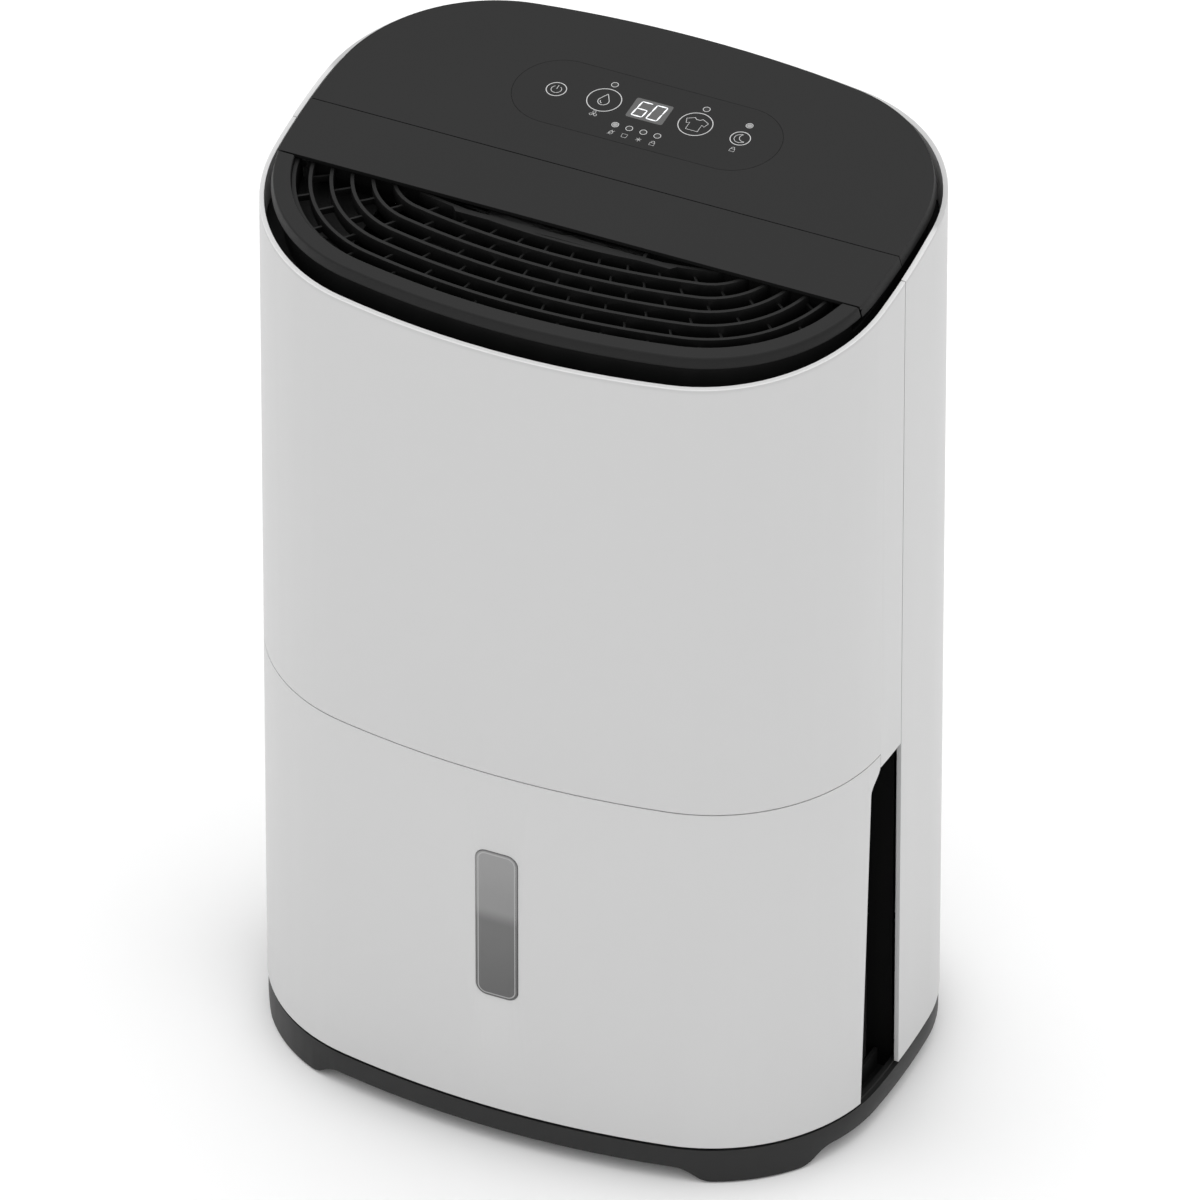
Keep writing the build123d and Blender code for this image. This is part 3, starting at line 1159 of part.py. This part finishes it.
GLAND_BODY_R = GLAND_HOLE_R - 0.2
CORD_HOLE_R = 3.6
with BuildPart() as cable_gland:
    along_y(GLAND_X, GLAND_Z, gland_face_y - 20, gland_face_y + 3, GLAND_BODY_R)
    along_y(GLAND_X, GLAND_Z, gland_face_y, gland_face_y + 3, GLAND_BODY_R + 3)
    along_y(GLAND_X, GLAND_Z, gland_face_y - 21, gland_face_y + 4, CORD_HOLE_R, Mode.SUBTRACT)
save(cable_gland, "cable_gland")
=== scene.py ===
"""The looks of a free-standing dehumidifier, in metres, in the frame of its CAD model."""
import math

import bmesh
import bpy
from mathutils import Matrix, Vector


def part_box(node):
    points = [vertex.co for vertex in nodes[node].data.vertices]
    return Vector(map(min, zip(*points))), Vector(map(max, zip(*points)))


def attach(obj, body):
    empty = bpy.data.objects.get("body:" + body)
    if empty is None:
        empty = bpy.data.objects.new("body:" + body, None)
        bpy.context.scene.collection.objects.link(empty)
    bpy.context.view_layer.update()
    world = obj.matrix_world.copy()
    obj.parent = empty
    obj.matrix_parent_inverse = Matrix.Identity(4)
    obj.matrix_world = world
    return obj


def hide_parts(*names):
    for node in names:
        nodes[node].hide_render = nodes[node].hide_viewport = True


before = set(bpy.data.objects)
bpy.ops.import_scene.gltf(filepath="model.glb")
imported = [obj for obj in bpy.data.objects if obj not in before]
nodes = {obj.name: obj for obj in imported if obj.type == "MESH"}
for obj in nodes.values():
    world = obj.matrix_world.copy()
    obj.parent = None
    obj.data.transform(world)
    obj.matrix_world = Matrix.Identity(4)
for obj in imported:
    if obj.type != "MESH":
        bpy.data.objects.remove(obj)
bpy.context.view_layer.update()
MM = 0.001

# ---- the lid's plane: drawings on the lid are made flat, then laid on it ----
LID_SLOPE = 0.085
LID_HEIGHT = 525 * MM   # over the origin
ON_LID = Matrix.Translation((0, 0, LID_HEIGHT)) @ Matrix.Rotation(math.atan(LID_SLOPE), 4, "X")

# ---- the upper rim of the white covers, a sloped plane through its front middle ----
RIM_SLOPE = 0.136
RIM_FRONT = Vector((0, -127 * MM, 500 * MM))


# ---- materials ----
class Value:
    """A node's output that sums and products can be written with."""

    def __init__(self, finish, socket):
        self.finish = finish
        self.socket = socket

    def __add__(self, other):
        return self.finish.maths("ADD", self, other)

    def __sub__(self, other):
        return self.finish.maths("SUBTRACT", self, other)

    def __rsub__(self, other):
        return self.finish.maths("SUBTRACT", other, self)

    def __mul__(self, other):
        return self.finish.maths("MULTIPLY", self, other)

    def __lt__(self, other):
        return self.finish.maths("LESS_THAN", self, other)

    __radd__ = __add__
    __rmul__ = __mul__

    def rise(self, low, high):
        """0 below low, 1 above high, and smooth between them."""
        return self.finish.node("MapRange", {"interpolation_type": "SMOOTHSTEP"},
                                {"Value": self, "From Min": low, "From Max": high})

    def repeat(self, pitch):
        """How far along each pitch this value is, from 0 to 1."""
        return self.finish.maths("FRACT", self * (1 / pitch))


class Finish:
    """One material, made from nodes."""

    def __init__(self, name, **uniform):
        self.material = bpy.data.materials.new(name)
        self.material.use_nodes = True
        self.tree = self.material.node_tree
        self.shader = self.tree.nodes["Principled BSDF"]
        for socket, value in uniform.items():
            self.shader.inputs[socket.replace("_", " ")].default_value = value

    def node(self, kind, settings, inputs, out=0):
        """Any node: its settings first, then the values or links of its sockets."""
        made = self.tree.nodes.new("ShaderNode" + kind)
        for name, setting in settings.items():
            setattr(made, name, setting)
        for key, value in inputs.items():
            if isinstance(value, Value):
                self.tree.links.new(value.socket, made.inputs[key])
            else:
                made.inputs[key].default_value = value
        return Value(self, made.outputs[out])

    def maths(self, operation, *terms):
        return self.node("Math", {"operation": operation}, dict(enumerate(terms)))

    def feed(self, socket, value):
        """Let a value drive one of the shader's sockets."""
        self.tree.links.new(value.socket, self.shader.inputs[socket])

    def place(self):
        """Where a point of the piece is, in metres."""
        return self.node("TexCoord", {}, {}, "Object")

    def axis(self, name):
        return self.node("SeparateXYZ", {}, {"Vector": self.place()}, name)

    def noise(self, scale, detail=2.0):
        return self.node("TexNoise", {}, {"Vector": self.place(), "Scale": scale,
                                          "Detail": detail})

    def mix(self, factor, first, second):
        """One colour over another."""
        first, second = [c if isinstance(c, Value) else (*c, 1) for c in (first, second)]
        return self.node("Mix", {"data_type": "RGBA"}, {0: factor, 6: first, 7: second}, 2)

    def relief(self, height, depth):
        """Bumps of this height pattern, this deep in metres."""
        self.feed("Normal", self.node("Bump", {}, {"Height": height, "Distance": depth,
                                                   "Strength": 1.0}))


def tint(colour, factor):
    """A darker or lighter version of a colour."""
    return tuple(min(1.0, part * factor) for part in colour)


def grey(level):
    """A neutral colour, from its brightness on screen out of 255."""
    level = level / 255
    linear = level / 12.92 if level <= 0.04045 else ((level + 0.055) / 1.055) ** 2.4
    return (linear, linear, linear)


def moulded(name, colour, roughness, grain=1600.0, depth=0.02 * MM, cloud=0.03, **uniform):
    """Moulded plastic: a fine spark-eroded grain and a faint cloudiness in colour and gloss."""
    finish = Finish(name, **uniform)
    haze = finish.noise(11.0, 3.0)
    speck = finish.noise(grain, 2.0)
    finish.base = finish.mix(haze, tint(colour, 1 - cloud), tint(colour, 1 + cloud))
    finish.feed("Base Color", finish.base)
    finish.feed("Roughness", haze * 0.08 + speck * 0.08 + (roughness - 0.08))
    finish.relief(speck, depth)
    return finish


def cover_plastic():
    """White covers: satin, with a painted highlight on the upper rim's lip and a band of painted
    shade just under the rim.
    """
    finish = moulded("white_cover_plastic", grey(200), 0.42, depth=0.008 * MM, cloud=0.008,
                     Specular_IOR_Level=0.35)
    under_rim = (finish.axis("Z") - finish.axis("Y") * RIM_SLOPE
                 - (RIM_FRONT.z - RIM_SLOPE * RIM_FRONT.y))
    # painted highlight: the very top of the upper rim is made lighter
    painted_highlight_lip = under_rim.rise(-0.75 * MM, -0.35 * MM)
    # painted shade: a darker band just under the rim
    painted_shade_band = under_rim.rise(-3.4 * MM, -1.2 * MM) * (1 - painted_highlight_lip)
    shaded = finish.mix(painted_shade_band * 0.45, finish.base, grey(180))
    finish.feed("Base Color", finish.mix(painted_highlight_lip, shaded, grey(222)))
    return finish


LENS_CORNER = 6 * MM
LOWER_DARK_FADE = (47 * MM, 57 * MM)   # over the lens's foot, where the darker lower part fades into the lighter upper part


def window_plastic():
    """Clear lens, darker in its lower part, with a stepped border: a relief step with a painted
    highlight along it and painted shade at the lens's very edge.
    """
    finish = Finish("level_window_plastic", Coat_Weight=0.5, Coat_Roughness=0.05)
    low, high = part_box("tank_window")
    middle, half = (low + high) / 2, (high - low) / 2
    aside = finish.maths("ABSOLUTE", finish.axis("X") - middle.x)
    above = finish.maths("ABSOLUTE", finish.axis("Z") - middle.z)
    past_x = finish.maths("MAXIMUM", aside - (half.x - LENS_CORNER), 0.0)
    past_z = finish.maths("MAXIMUM", above - (half.z - LENS_CORNER), 0.0)
    inward = LENS_CORNER - finish.maths("SQRT", past_x * past_x + past_z * past_z)
    height = finish.axis("Z") - low.z + finish.noise(60.0) * (1.5 * MM)
    lower = finish.mix(height.rise(0, 46 * MM), grey(74), grey(90))
    upper = finish.mix(height.rise(56 * MM, 92 * MM), grey(126), grey(136))
    clear = finish.mix(height.rise(*LOWER_DARK_FADE), lower, upper)
    # painted highlight: a lighter band along the border's step, over its relief
    step = inward.rise(1.1 * MM, 1.3 * MM) * (1 - inward.rise(1.7 * MM, 1.9 * MM))
    # painted shade: a darker rim at the lens's very edge
    edge = 1 - inward.rise(0.3 * MM, 0.7 * MM)
    bordered = finish.mix(step * 0.7, clear, grey(176))
    finish.feed("Base Color", finish.mix(edge * 0.6, bordered, grey(64)))
    finish.feed("Roughness", finish.noise(300.0) * 0.06 + 0.12)
    finish.relief(inward.rise(1.1 * MM, 1.6 * MM), -0.2 * MM)
    return finish


def metal(name, colour, roughness, brushed=120.0):
    """Bare metal with drawing marks."""
    finish = Finish(name, Metallic=1.0)
    marks = finish.noise(brushed, 6.0)
    finish.feed("Base Color", finish.mix(marks, tint(colour, 0.82), tint(colour, 1.1)))
    finish.feed("Roughness", marks * 0.2 + (roughness - 0.1))
    finish.relief(marks, 0.03 * MM)
    return finish


FIN_PITCH = 1.8 * MM
NET_PITCH = 1.6 * MM
THREAD_SHARE = 0.34   # of the net's pitch


def finned(name):
    """Thin aluminium fins side by side, with painted shade in the gaps between them."""
    finish = Finish(name, Metallic=0.9)
    step = finish.axis("X").repeat(FIN_PITCH)
    ridge = step.rise(0.2, 0.35) * (1 - step.rise(0.65, 0.8))
    # painted shade: dark grey between the fins, aluminium grey on them
    finish.feed("Base Color", finish.mix(ridge, grey(38), grey(186)))
    finish.feed("Roughness", finish.noise(60.0) * 0.15 + 0.3)
    finish.relief(ridge, 0.6 * MM)
    return finish


def woven_filter():
    """Open nylon net."""
    finish = Finish("filter_net", Roughness=0.6)
    along = finish.axis("X").repeat(NET_PITCH)
    up = finish.axis("Z").repeat(NET_PITCH)
    thread = finish.maths("MAXIMUM", along < THREAD_SHARE, up < THREAD_SHARE)
    finish.feed("Base Color", finish.mix(finish.noise(50.0), grey(52), grey(70)))
    finish.feed("Alpha", thread * 0.94 + 0.06)
    return finish


def circuit(name):
    """Green board with pads and tracks."""
    finish = Finish(name)
    tracks = finish.node("TexBrick", {}, {"Vector": finish.place(), "Scale": 260.0,
                                          "Mortar Size": 0.03}, "Fac")
    finish.feed("Base Color", finish.mix(tracks, (0.012, 0.075, 0.03), (0.03, 0.16, 0.06)))
    finish.feed("Roughness", finish.noise(90.0) * 0.2 + 0.3)
    finish.relief(tracks, 0.03 * MM)
    return finish


def glowing(name, colour, strength):
    """A printed or lit mark that glows a little unevenly by the given strength: a lit mark glows
    as a lamp, and any glow on print is a painted glow.
    """
    finish = Finish(name, Roughness=0.5, Emission_Strength=strength)
    film = finish.mix(finish.noise(500.0), tint(colour, 0.9), colour)
    finish.feed("Base Color", film)
    finish.feed("Emission Color", film)
    return finish


def foam(name, colour):
    """Closed-cell foam, darker between its cells."""
    finish = Finish(name)
    cells = finish.node("TexVoronoi", {}, {"Vector": finish.place(), "Scale": 700.0})
    finish.feed("Base Color", finish.mix(cells, tint(colour, 1.1), tint(colour, 0.7)))
    finish.feed("Roughness", cells * 0.1 + 0.8)
    finish.relief(cells, 0.3 * MM)
    return finish


white = cover_plastic()
lid_black = moulded("lid_plastic", grey(20), 0.5, 2200.0, 0.015 * MM, 0.05,
                    Specular_IOR_Level=0.25)
grille_black = moulded("grille_plastic", grey(16), 0.52, 2200.0, 0.015 * MM, 0.05,
                       Specular_IOR_Level=0.26)
base_black = moulded("base_plastic", grey(30), 0.5, 2000.0, 0.02 * MM, 0.05,
                     Specular_IOR_Level=0.34)
inner_black = moulded("inner_plastic", grey(12), 0.6, 1400.0, 0.03 * MM, 0.06,
                      Specular_IOR_Level=0.2)
tank_smoked = moulded("tank_plastic", grey(30), 0.3, 900.0, 0.02 * MM, 0.05,
                      Specular_IOR_Level=0.4)
panel_film = moulded("touch_panel_film", grey(16), 0.42, 2600.0, 0.006 * MM, 0.04,
                     Specular_IOR_Level=0.23)
rubber = moulded("rubber", grey(26), 0.85, 700.0, 0.08 * MM, 0.12)
duct_grey = moulded("duct_plastic", grey(88), 0.55, 900.0, 0.03 * MM, 0.05)
window_clear = window_plastic()
steel = metal("zinc_steel", (0.55, 0.55, 0.54), 0.38)
copper = metal("copper_tube", (0.72, 0.34, 0.2), 0.32, 60.0)
black_steel = moulded("painted_steel", grey(24), 0.32, 260.0, 0.06 * MM, 0.08)
fins = finned("aluminium_fins")
net = woven_filter()
board = circuit("circuit_board")
float_foam = foam("float_foam", (0.5, 0.5, 0.47))
# white print with a faint painted glow
print_with_painted_glow = glowing("white_print", grey(200), 0.06)
digit_light = glowing("digit_light", (0.93, 0.95, 0.97), 0.35)
lamp_light = glowing("lamp_light", grey(150), 0.1)
lamp_dark = glowing("lamp_unlit", grey(24), 0.0)
display_glass = moulded("display_glass", grey(64), 0.24, 500.0, 0.004 * MM, 0.06,
                        Coat_Weight=0.5, Coat_Roughness=0.06)


# ---- making pieces ----
def finish_mesh(obj, finish):
    """Give a piece or a CAD part its material."""
    obj.data.materials.clear()
    obj.data.materials.append(finish.material)


def stood(shape, name, finish):
    """Turn a bmesh in the model's frame into an object."""
    mesh = bpy.data.meshes.new(name)
    shape.to_mesh(mesh)
    shape.free()
    piece = bpy.data.objects.new(name, mesh)
    bpy.context.scene.collection.objects.link(piece)
    finish_mesh(piece, finish)
    return piece


def placed(shape, name, body, finish):
    """Turn a bmesh into a piece that rides on a body."""
    piece = stood(shape, name, finish)
    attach(piece, body)
    return piece


DOUBLES = 0.002 * MM
FLATNESS = math.radians(0.2)    # neighbours within this make one flat face
SHARP_EDGE = math.radians(32)
MANY_CORNERS = 8                # a level face with more corners than this is shaded flat
LEVEL = 0.9                     # the upward part of a level face's normal


def refined(node, name, body, finish, edge, segments=3):
    """A moulding's CAD shape with its sharp edges rounded as the tool leaves them."""
    shape = bmesh.new()
    shape.from_mesh(nodes[node].data)
    bmesh.ops.remove_doubles(shape, verts=shape.verts, dist=DOUBLES)
    bmesh.ops.dissolve_limit(shape, angle_limit=FLATNESS, verts=shape.verts, edges=shape.edges)
    for face in shape.faces:
        face.smooth = len(face.verts) <= MANY_CORNERS or abs(face.normal.z) < LEVEL
    piece = placed(shape, name, body, finish)
    rounding = piece.modifiers.new("rounded_edges", "BEVEL")
    rounding.width = edge * MM
    rounding.segments = segments
    rounding.limit_method = "ANGLE"
    rounding.angle_limit = SHARP_EDGE
    rounding.harden_normals = True
    rounding.miter_outer = "MITER_ARC"
    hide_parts(node)


PRINT_T = 0.05   # how thick a printed ring or digit bar stands, in mm


def ring_plate(radius, width, segments=48):
    """A flat ring, this wide, lying at the origin."""
    shape = bmesh.new()
    bmesh.ops.create_circle(shape, cap_ends=True, segments=segments, radius=radius * MM)
    inner = shape.faces[:]
    bmesh.ops.inset_individual(shape, faces=inner, thickness=width * MM, use_even_offset=True)
    bmesh.ops.delete(shape, geom=inner, context="FACES")
    raise_plate(shape, PRINT_T)
    return shape


def dot_plate(radius, height):
    """A flat disc at the origin."""
    shape = bmesh.new()
    bmesh.ops.create_circle(shape, cap_ends=True, segments=24, radius=radius * MM)
    raise_plate(shape, height)
    return shape


def raise_plate(shape, height):
    """Give a flat face its thickness, upwards, with a closed underside."""
    made = bmesh.ops.extrude_face_region(shape, geom=shape.faces[:], use_keep_orig=True)
    lifted = [v for v in made["geom"] if isinstance(v, bmesh.types.BMVert)]
    bmesh.ops.translate(shape, verts=lifted, vec=(0, 0, height * MM))
    bmesh.ops.recalc_face_normals(shape, faces=shape.faces[:])


def onto_lid(shape, x, y, lift=0.0):
    """Lay a flat drawing on the lid at this place."""
    bmesh.ops.transform(shape, verts=shape.verts,
                        matrix=ON_LID @ Matrix.Translation((x * MM, y * MM, lift * MM)))
    return shape


def joined(shapes):
    """Several bmeshes as one."""
    whole = bmesh.new()
    for shape in shapes:
        mesh = bpy.data.meshes.new("part")
        shape.to_mesh(mesh)
        shape.free()
        whole.from_mesh(mesh)
        bpy.data.meshes.remove(mesh)
    return whole


LINE_FLATNESS = 0.3   # a printed line's height over its width


def line_drawing(strokes, width):
    """Printed lines: each stroke is (closed, points), and a point marked sharp has no curve."""
    curve = bpy.data.curves.new("line", "CURVE")
    curve.dimensions = "3D"
    curve.bevel_depth = width / 2 * MM
    curve.bevel_resolution = 1
    curve.resolution_u = 6
    for closed, points in strokes:
        spline = curve.splines.new("BEZIER")
        spline.bezier_points.add(len(points) - 1)
        spline.use_cyclic_u = closed
        for knot, (x, y, *sharp) in zip(spline.bezier_points, points):
            knot.co = (x * MM, y * MM, 0)
            knot.handle_left_type = knot.handle_right_type = "VECTOR" if sharp else "AUTO"
    holder = bpy.data.objects.new("line", curve)
    bpy.context.scene.collection.objects.link(holder)
    bpy.context.view_layer.update()
    shape = bmesh.new()
    mesh = bpy.data.meshes.new_from_object(holder)
    shape.from_mesh(mesh)
    bpy.data.objects.remove(holder)
    bpy.data.meshes.remove(mesh)
    bmesh.ops.scale(shape, vec=(1, 1, LINE_FLATNESS), verts=shape.verts)
    return shape


def sharp(*points):
    """Points where a printed line has a corner."""
    return [(x, y, True) for x, y in points]


def arc(radius, start, end, count=7, x=0.0, y=0.0):
    """Points round part of a circle, in degrees."""
    angles = [math.radians(start + (end - start) * index / (count - 1)) for index in range(count)]
    return [(x + radius * math.cos(a), y + radius * math.sin(a)) for a in angles]


# ---- housing and tank mouldings ----
refined("front_cover", "front_cover_shell", "housing", white, 0.35)
refined("rear_cover", "rear_cover_shell", "housing", white, 0.35)
refined("tank_front", "tank_front_shell", "water_tank", white, 0.3)
refined("inlet_grille", "inlet_grille_panel", "inlet_filter", white, 0.5, 2)
refined("base_tray", "base_moulding", "housing", base_black, 0.5)
refined("top_cover", "lid_rear_plate", "housing", lid_black, 0.5)
refined("carry_handle", "carry_handle_strip", "carry_handle", lid_black, 0.45)
refined("outlet_surround", "outlet_surround_lip", "housing", lid_black, 0.9)
refined("neck_frame", "neck_moulding", "housing", inner_black, 0.5, 2)
refined("outlet_grille", "outlet_grille_ribs", "housing", grille_black, 0.35, 2)
refined("tank_window", "level_window_lens", "water_tank", window_clear, 0.5)
refined("foot_pads", "rubber_foot_pads", "housing", rubber, 0.4, 2)

# ---- CAD parts that keep their shape ----
CAD_FINISHES = {
    panel_film: ["control_panel"],
    inner_black: ["chassis", "fan_housing", "fan_rotor", "drip_tray", "filter_frame",
                  "power_box", "power_box_lid", "level_switch", "cable_gland"],
    duct_grey: ["intake_duct"],
    rubber: ["compressor_grommets", "drain_plug"],
    steel: ["base_screws", "compressor_nuts", "motor_screws", "fan_shaft", "float_pin"],
    black_steel: ["compressor", "fan_motor"],
    copper: ["accumulator", "discharge_pipe", "suction_pipe"],
    fins: ["evaporator", "condenser"],
    net: ["filter_mesh"],
    board: ["control_board", "power_board"],
    tank_smoked: ["water_tank", "tank_lid", "drain_spout"],
    float_foam: ["tank_float"],
    display_glass: ["display_module"],
    lamp_dark: ["indicator_lights"],
}
for cad_finish, names in CAD_FINISHES.items():
    for cad_name in names:
        finish_mesh(nodes[cad_name], cad_finish)

# ---- marks on the touch panel ----
SMALL_KEY = 5.4
LARGE_KEY = 9.1
KEY_LINE = 0.45
LAMP_RING = 1.95
LAMP_LINE = 0.34
LAMP_LENS = 1.3
LAMP_PITCH = 7.8
KEYS = [(-51.0, 55.6, SMALL_KEY), (-25.0, 57.0, LARGE_KEY), (25.6, 57.2, LARGE_KEY),
        (51.2, 55.6, SMALL_KEY)]
rings = [onto_lid(ring_plate(radius, KEY_LINE), x, y) for x, y, radius in KEYS]
placed(joined(rings), "key_rings", "housing", print_with_painted_glow)

DROPLET = [(True, [(0, 5.0, True), (1.7, 2.0), (2.9, -0.9), (1.9, -3.1), (0, -3.9),
                   (-1.9, -3.1), (-2.9, -0.9), (-1.7, 2.0)]),
           (False, [(-1.7, -0.9), (-1.2, -2.1), (-0.3, -2.7)])]
SHIRT = [(True, sharp((-2.2, 4.8), (-6.0, 2.7), (-4.9, -0.5), (-3.3, 0.4), (-3.3, -5.0),
                      (3.3, -5.0), (3.3, 0.4), (4.9, -0.5), (6.0, 2.7), (2.2, 4.8),
                      (1.1, 3.7), (-1.1, 3.7)))]
POWER = [(False, arc(2.7, 125, 415, 11)), (False, sharp((0, 0.3), (0, 3.3)))]
MOON = [(True, [(0.4, 3.4, True), (-1.9, 2.5), (-3.1, 0.2), (-2.1, -2.4), (0.4, -3.2),
                (3.0, -1.9, True), (0.9, -1.5), (-0.6, 0.3), (-0.5, 2.2)])]
BLADE_HUBS = [(turn, *arc(1.1, turn, turn + 1, 2)[0]) for turn in (90, 210, 330)]
BLADES = [(True, [(0, 0, True), *arc(1.0, turn - 40, turn + 60, 3, x, y)])
          for turn, x, y in BLADE_HUBS]
PADLOCK = [(True, sharp((-1.3, -1.6), (1.3, -1.6), (1.3, 0.3), (-1.3, 0.3))),
           (False, [(-0.85, 0.3, True), (-0.8, 1.1), (0, 1.8), (0.8, 1.1), (0.85, 0.3, True)])]
TANK_MARK = [(True, sharp((-1.2, -1.3), (1.2, -1.3), (1.5, 1.3), (-1.5, 1.3)))]
DROP_MARK = [(True, [(0, 1.7, True), (1.0, -0.3), (0, -1.4), (-1.0, -0.3)]),
             (False, sharp((-1.5, -1.6), (1.5, 1.6)))]
FLAKE_MARK = [(False, sharp(*arc(1.5, turn, turn + 180, 2))) for turn in (30, 90, 150)]
MARKS = [(POWER, -51.0, 55.6, 0.36), (DROPLET, -25.0, 57.0, 0.44), (SHIRT, 25.6, 57.2, 0.42),
         (MOON, 51.2, 55.6, 0.36), (BLADES, -25.6, 45.3, 0.26), (PADLOCK, 51.0, 46.4, 0.28),
         (DROP_MARK, -11.3, 35.3, 0.26), (TANK_MARK, -3.9, 35.3, 0.28),
         (FLAKE_MARK, 4.0, 35.3, 0.26), (PADLOCK, 11.7, 35.3, 0.28)]
drawings = [onto_lid(line_drawing(strokes, width), x, y) for strokes, x, y, width in MARKS]
placed(joined(drawings), "key_symbols", "housing", print_with_painted_glow)

LAMPS = [(-25.0, 70.0), (26.0, 70.0), (51.4, 66.5)]
LAMPS += [((index - 1.5) * LAMP_PITCH, 41.5) for index in range(4)]
LIT = LAMPS[2:4]
UNLIT = [place for place in LAMPS if place not in LIT]
lamp_rings = [onto_lid(ring_plate(LAMP_RING, LAMP_LINE, segments=24), x, y) for x, y in LAMPS]
placed(joined(lamp_rings), "lamp_rings", "housing", print_with_painted_glow)
for title, places, lamp_finish in (("lit_lamps", LIT, lamp_light),
                                   ("unlit_lamps", UNLIT, lamp_dark)):
    lenses = [onto_lid(dot_plate(LAMP_LENS, 0.04), x, y) for x, y in places]
    placed(joined(lenses), title, "housing", lamp_finish)

# ---- two-digit display ----
DISPLAY_W = 20.4
DISPLAY_H = 15.6
DISPLAY_Y = 57.5
DIGIT_X = 4.1
DIGIT_LIFT = 0.07
DIGIT_W = 5.8
DIGIT_H = 11.4
BAR_T = 0.75
BAR_GAP = 0.3
LEAN = Matrix.Identity(4)
LEAN[0][1] = math.tan(math.radians(7))
SEGMENTS = {"top": (0, 1, False), "middle": (0, 0, False), "bottom": (0, -1, False),
            "top_left": (-1, 0.5, True), "top_right": (1, 0.5, True),
            "low_left": (-1, -0.5, True), "low_right": (1, -0.5, True)}
SIX = [name for name in SEGMENTS if name != "top_right"]
ZERO = [name for name in SEGMENTS if name != "middle"]


def digit_bar(side, level, upright):
    """One bar of a digit, with pointed ends."""
    length = (DIGIT_H / 2 if upright else DIGIT_W) - BAR_GAP
    bar = bmesh.new()
    bmesh.ops.create_circle(bar, cap_ends=True, segments=6, radius=BAR_T / math.sqrt(3) * MM)
    for end in (-1, 1):
        half = [v for v in bar.verts if v.co.x * end > 0]
        bmesh.ops.translate(bar, verts=half, vec=(end * (length - BAR_T) / 2 * MM, 0, 0))
    raise_plate(bar, PRINT_T)
    if upright:
        bmesh.ops.rotate(bar, verts=bar.verts, cent=(0, 0, 0),
                         matrix=Matrix.Rotation(math.radians(90), 3, "Z"))
    bmesh.ops.translate(bar, verts=bar.verts, vec=(side * DIGIT_W / 2 * MM,
                                                  level * DIGIT_H / 2 * MM, 0))
    return bar


def digit(bars, x):
    """A leaning digit at this place along the display."""
    shape = joined([digit_bar(*SEGMENTS[name]) for name in bars])
    bmesh.ops.transform(shape, matrix=LEAN, verts=shape.verts)
    return onto_lid(shape, x, DISPLAY_Y, DIGIT_LIFT)


glass = bmesh.new()
bmesh.ops.create_grid(glass, x_segments=1, y_segments=1, size=0.5)
bmesh.ops.scale(glass, vec=(DISPLAY_W * MM, DISPLAY_H * MM, 1), verts=glass.verts)
raise_plate(glass, 0.06)
uprights = [e for e in glass.edges if abs(e.verts[0].co.z - e.verts[1].co.z) > 0]
bmesh.ops.bevel(glass, geom=uprights, offset=1.2 * MM, offset_type="OFFSET", segments=4,
                profile=0.5, affect="EDGES", material=-1)
onto_lid(glass, 0, DISPLAY_Y)
placed(glass, "display_lens", "housing", display_glass)
placed(joined([digit(SIX, -DIGIT_X), digit(ZERO, DIGIT_X)]), "display_digits", "housing",
       digit_light)

# ---- floor, light and camera ----
floor_finish = Finish("studio_floor", Roughness=0.9, Specular_IOR_Level=0.1)
# painted light: the floor is made a little lighter further back
painted_light_further_back = floor_finish.axis("Y").rise(-0.5, 1.6)
floor_finish.feed("Base Color", floor_finish.mix(painted_light_further_back, grey(250), grey(254)))
floor = bmesh.new()
bmesh.ops.create_grid(floor, x_segments=8, y_segments=8, size=12.0)
stood(floor, "studio_floor", floor_finish)

HORIZON_LIGHT = 0.62
OVERHEAD_LIGHT = 1.45
world = bpy.data.worlds.new("soft_studio")
bpy.context.scene.world = world
world.use_nodes = True
sky = world.node_tree
direction = sky.nodes.new("ShaderNodeTexCoord")
upward = sky.nodes.new("ShaderNodeSeparateXYZ")
overhead = sky.nodes.new("ShaderNodeMapRange")
sky.links.new(direction.outputs["Generated"], upward.inputs["Vector"])
sky.links.new(upward.outputs["Z"], overhead.inputs["Value"])
overhead.inputs["To Min"].default_value = HORIZON_LIGHT
overhead.inputs["To Max"].default_value = OVERHEAD_LIGHT
sky.links.new(overhead.outputs["Result"], sky.nodes["Background"].inputs["Strength"])
sky.nodes["Background"].inputs["Color"].default_value = (1, 1, 1, 1)

bpy.context.scene.view_settings.view_transform = "Standard"

AZIMUTH = math.radians(24.9)
ELEVATION = math.radians(36.6)
DISTANCE = 12.0
LENS = 706.5
AIM = Vector((-0.0008, -0.0004, 0.2615))
camera = bpy.data.objects.new("camera", bpy.data.cameras.new("camera"))
bpy.context.scene.collection.objects.link(camera)
bpy.context.scene.camera = camera
towards = Vector((math.sin(AZIMUTH) * math.cos(ELEVATION),
                  -math.cos(AZIMUTH) * math.cos(ELEVATION), math.sin(ELEVATION)))
camera.location = AIM + towards * DISTANCE
camera.rotation_euler = (-towards).to_track_quat("-Z", "Y").to_euler()
camera.data.lens = LENS
camera.data.clip_end = 100.0
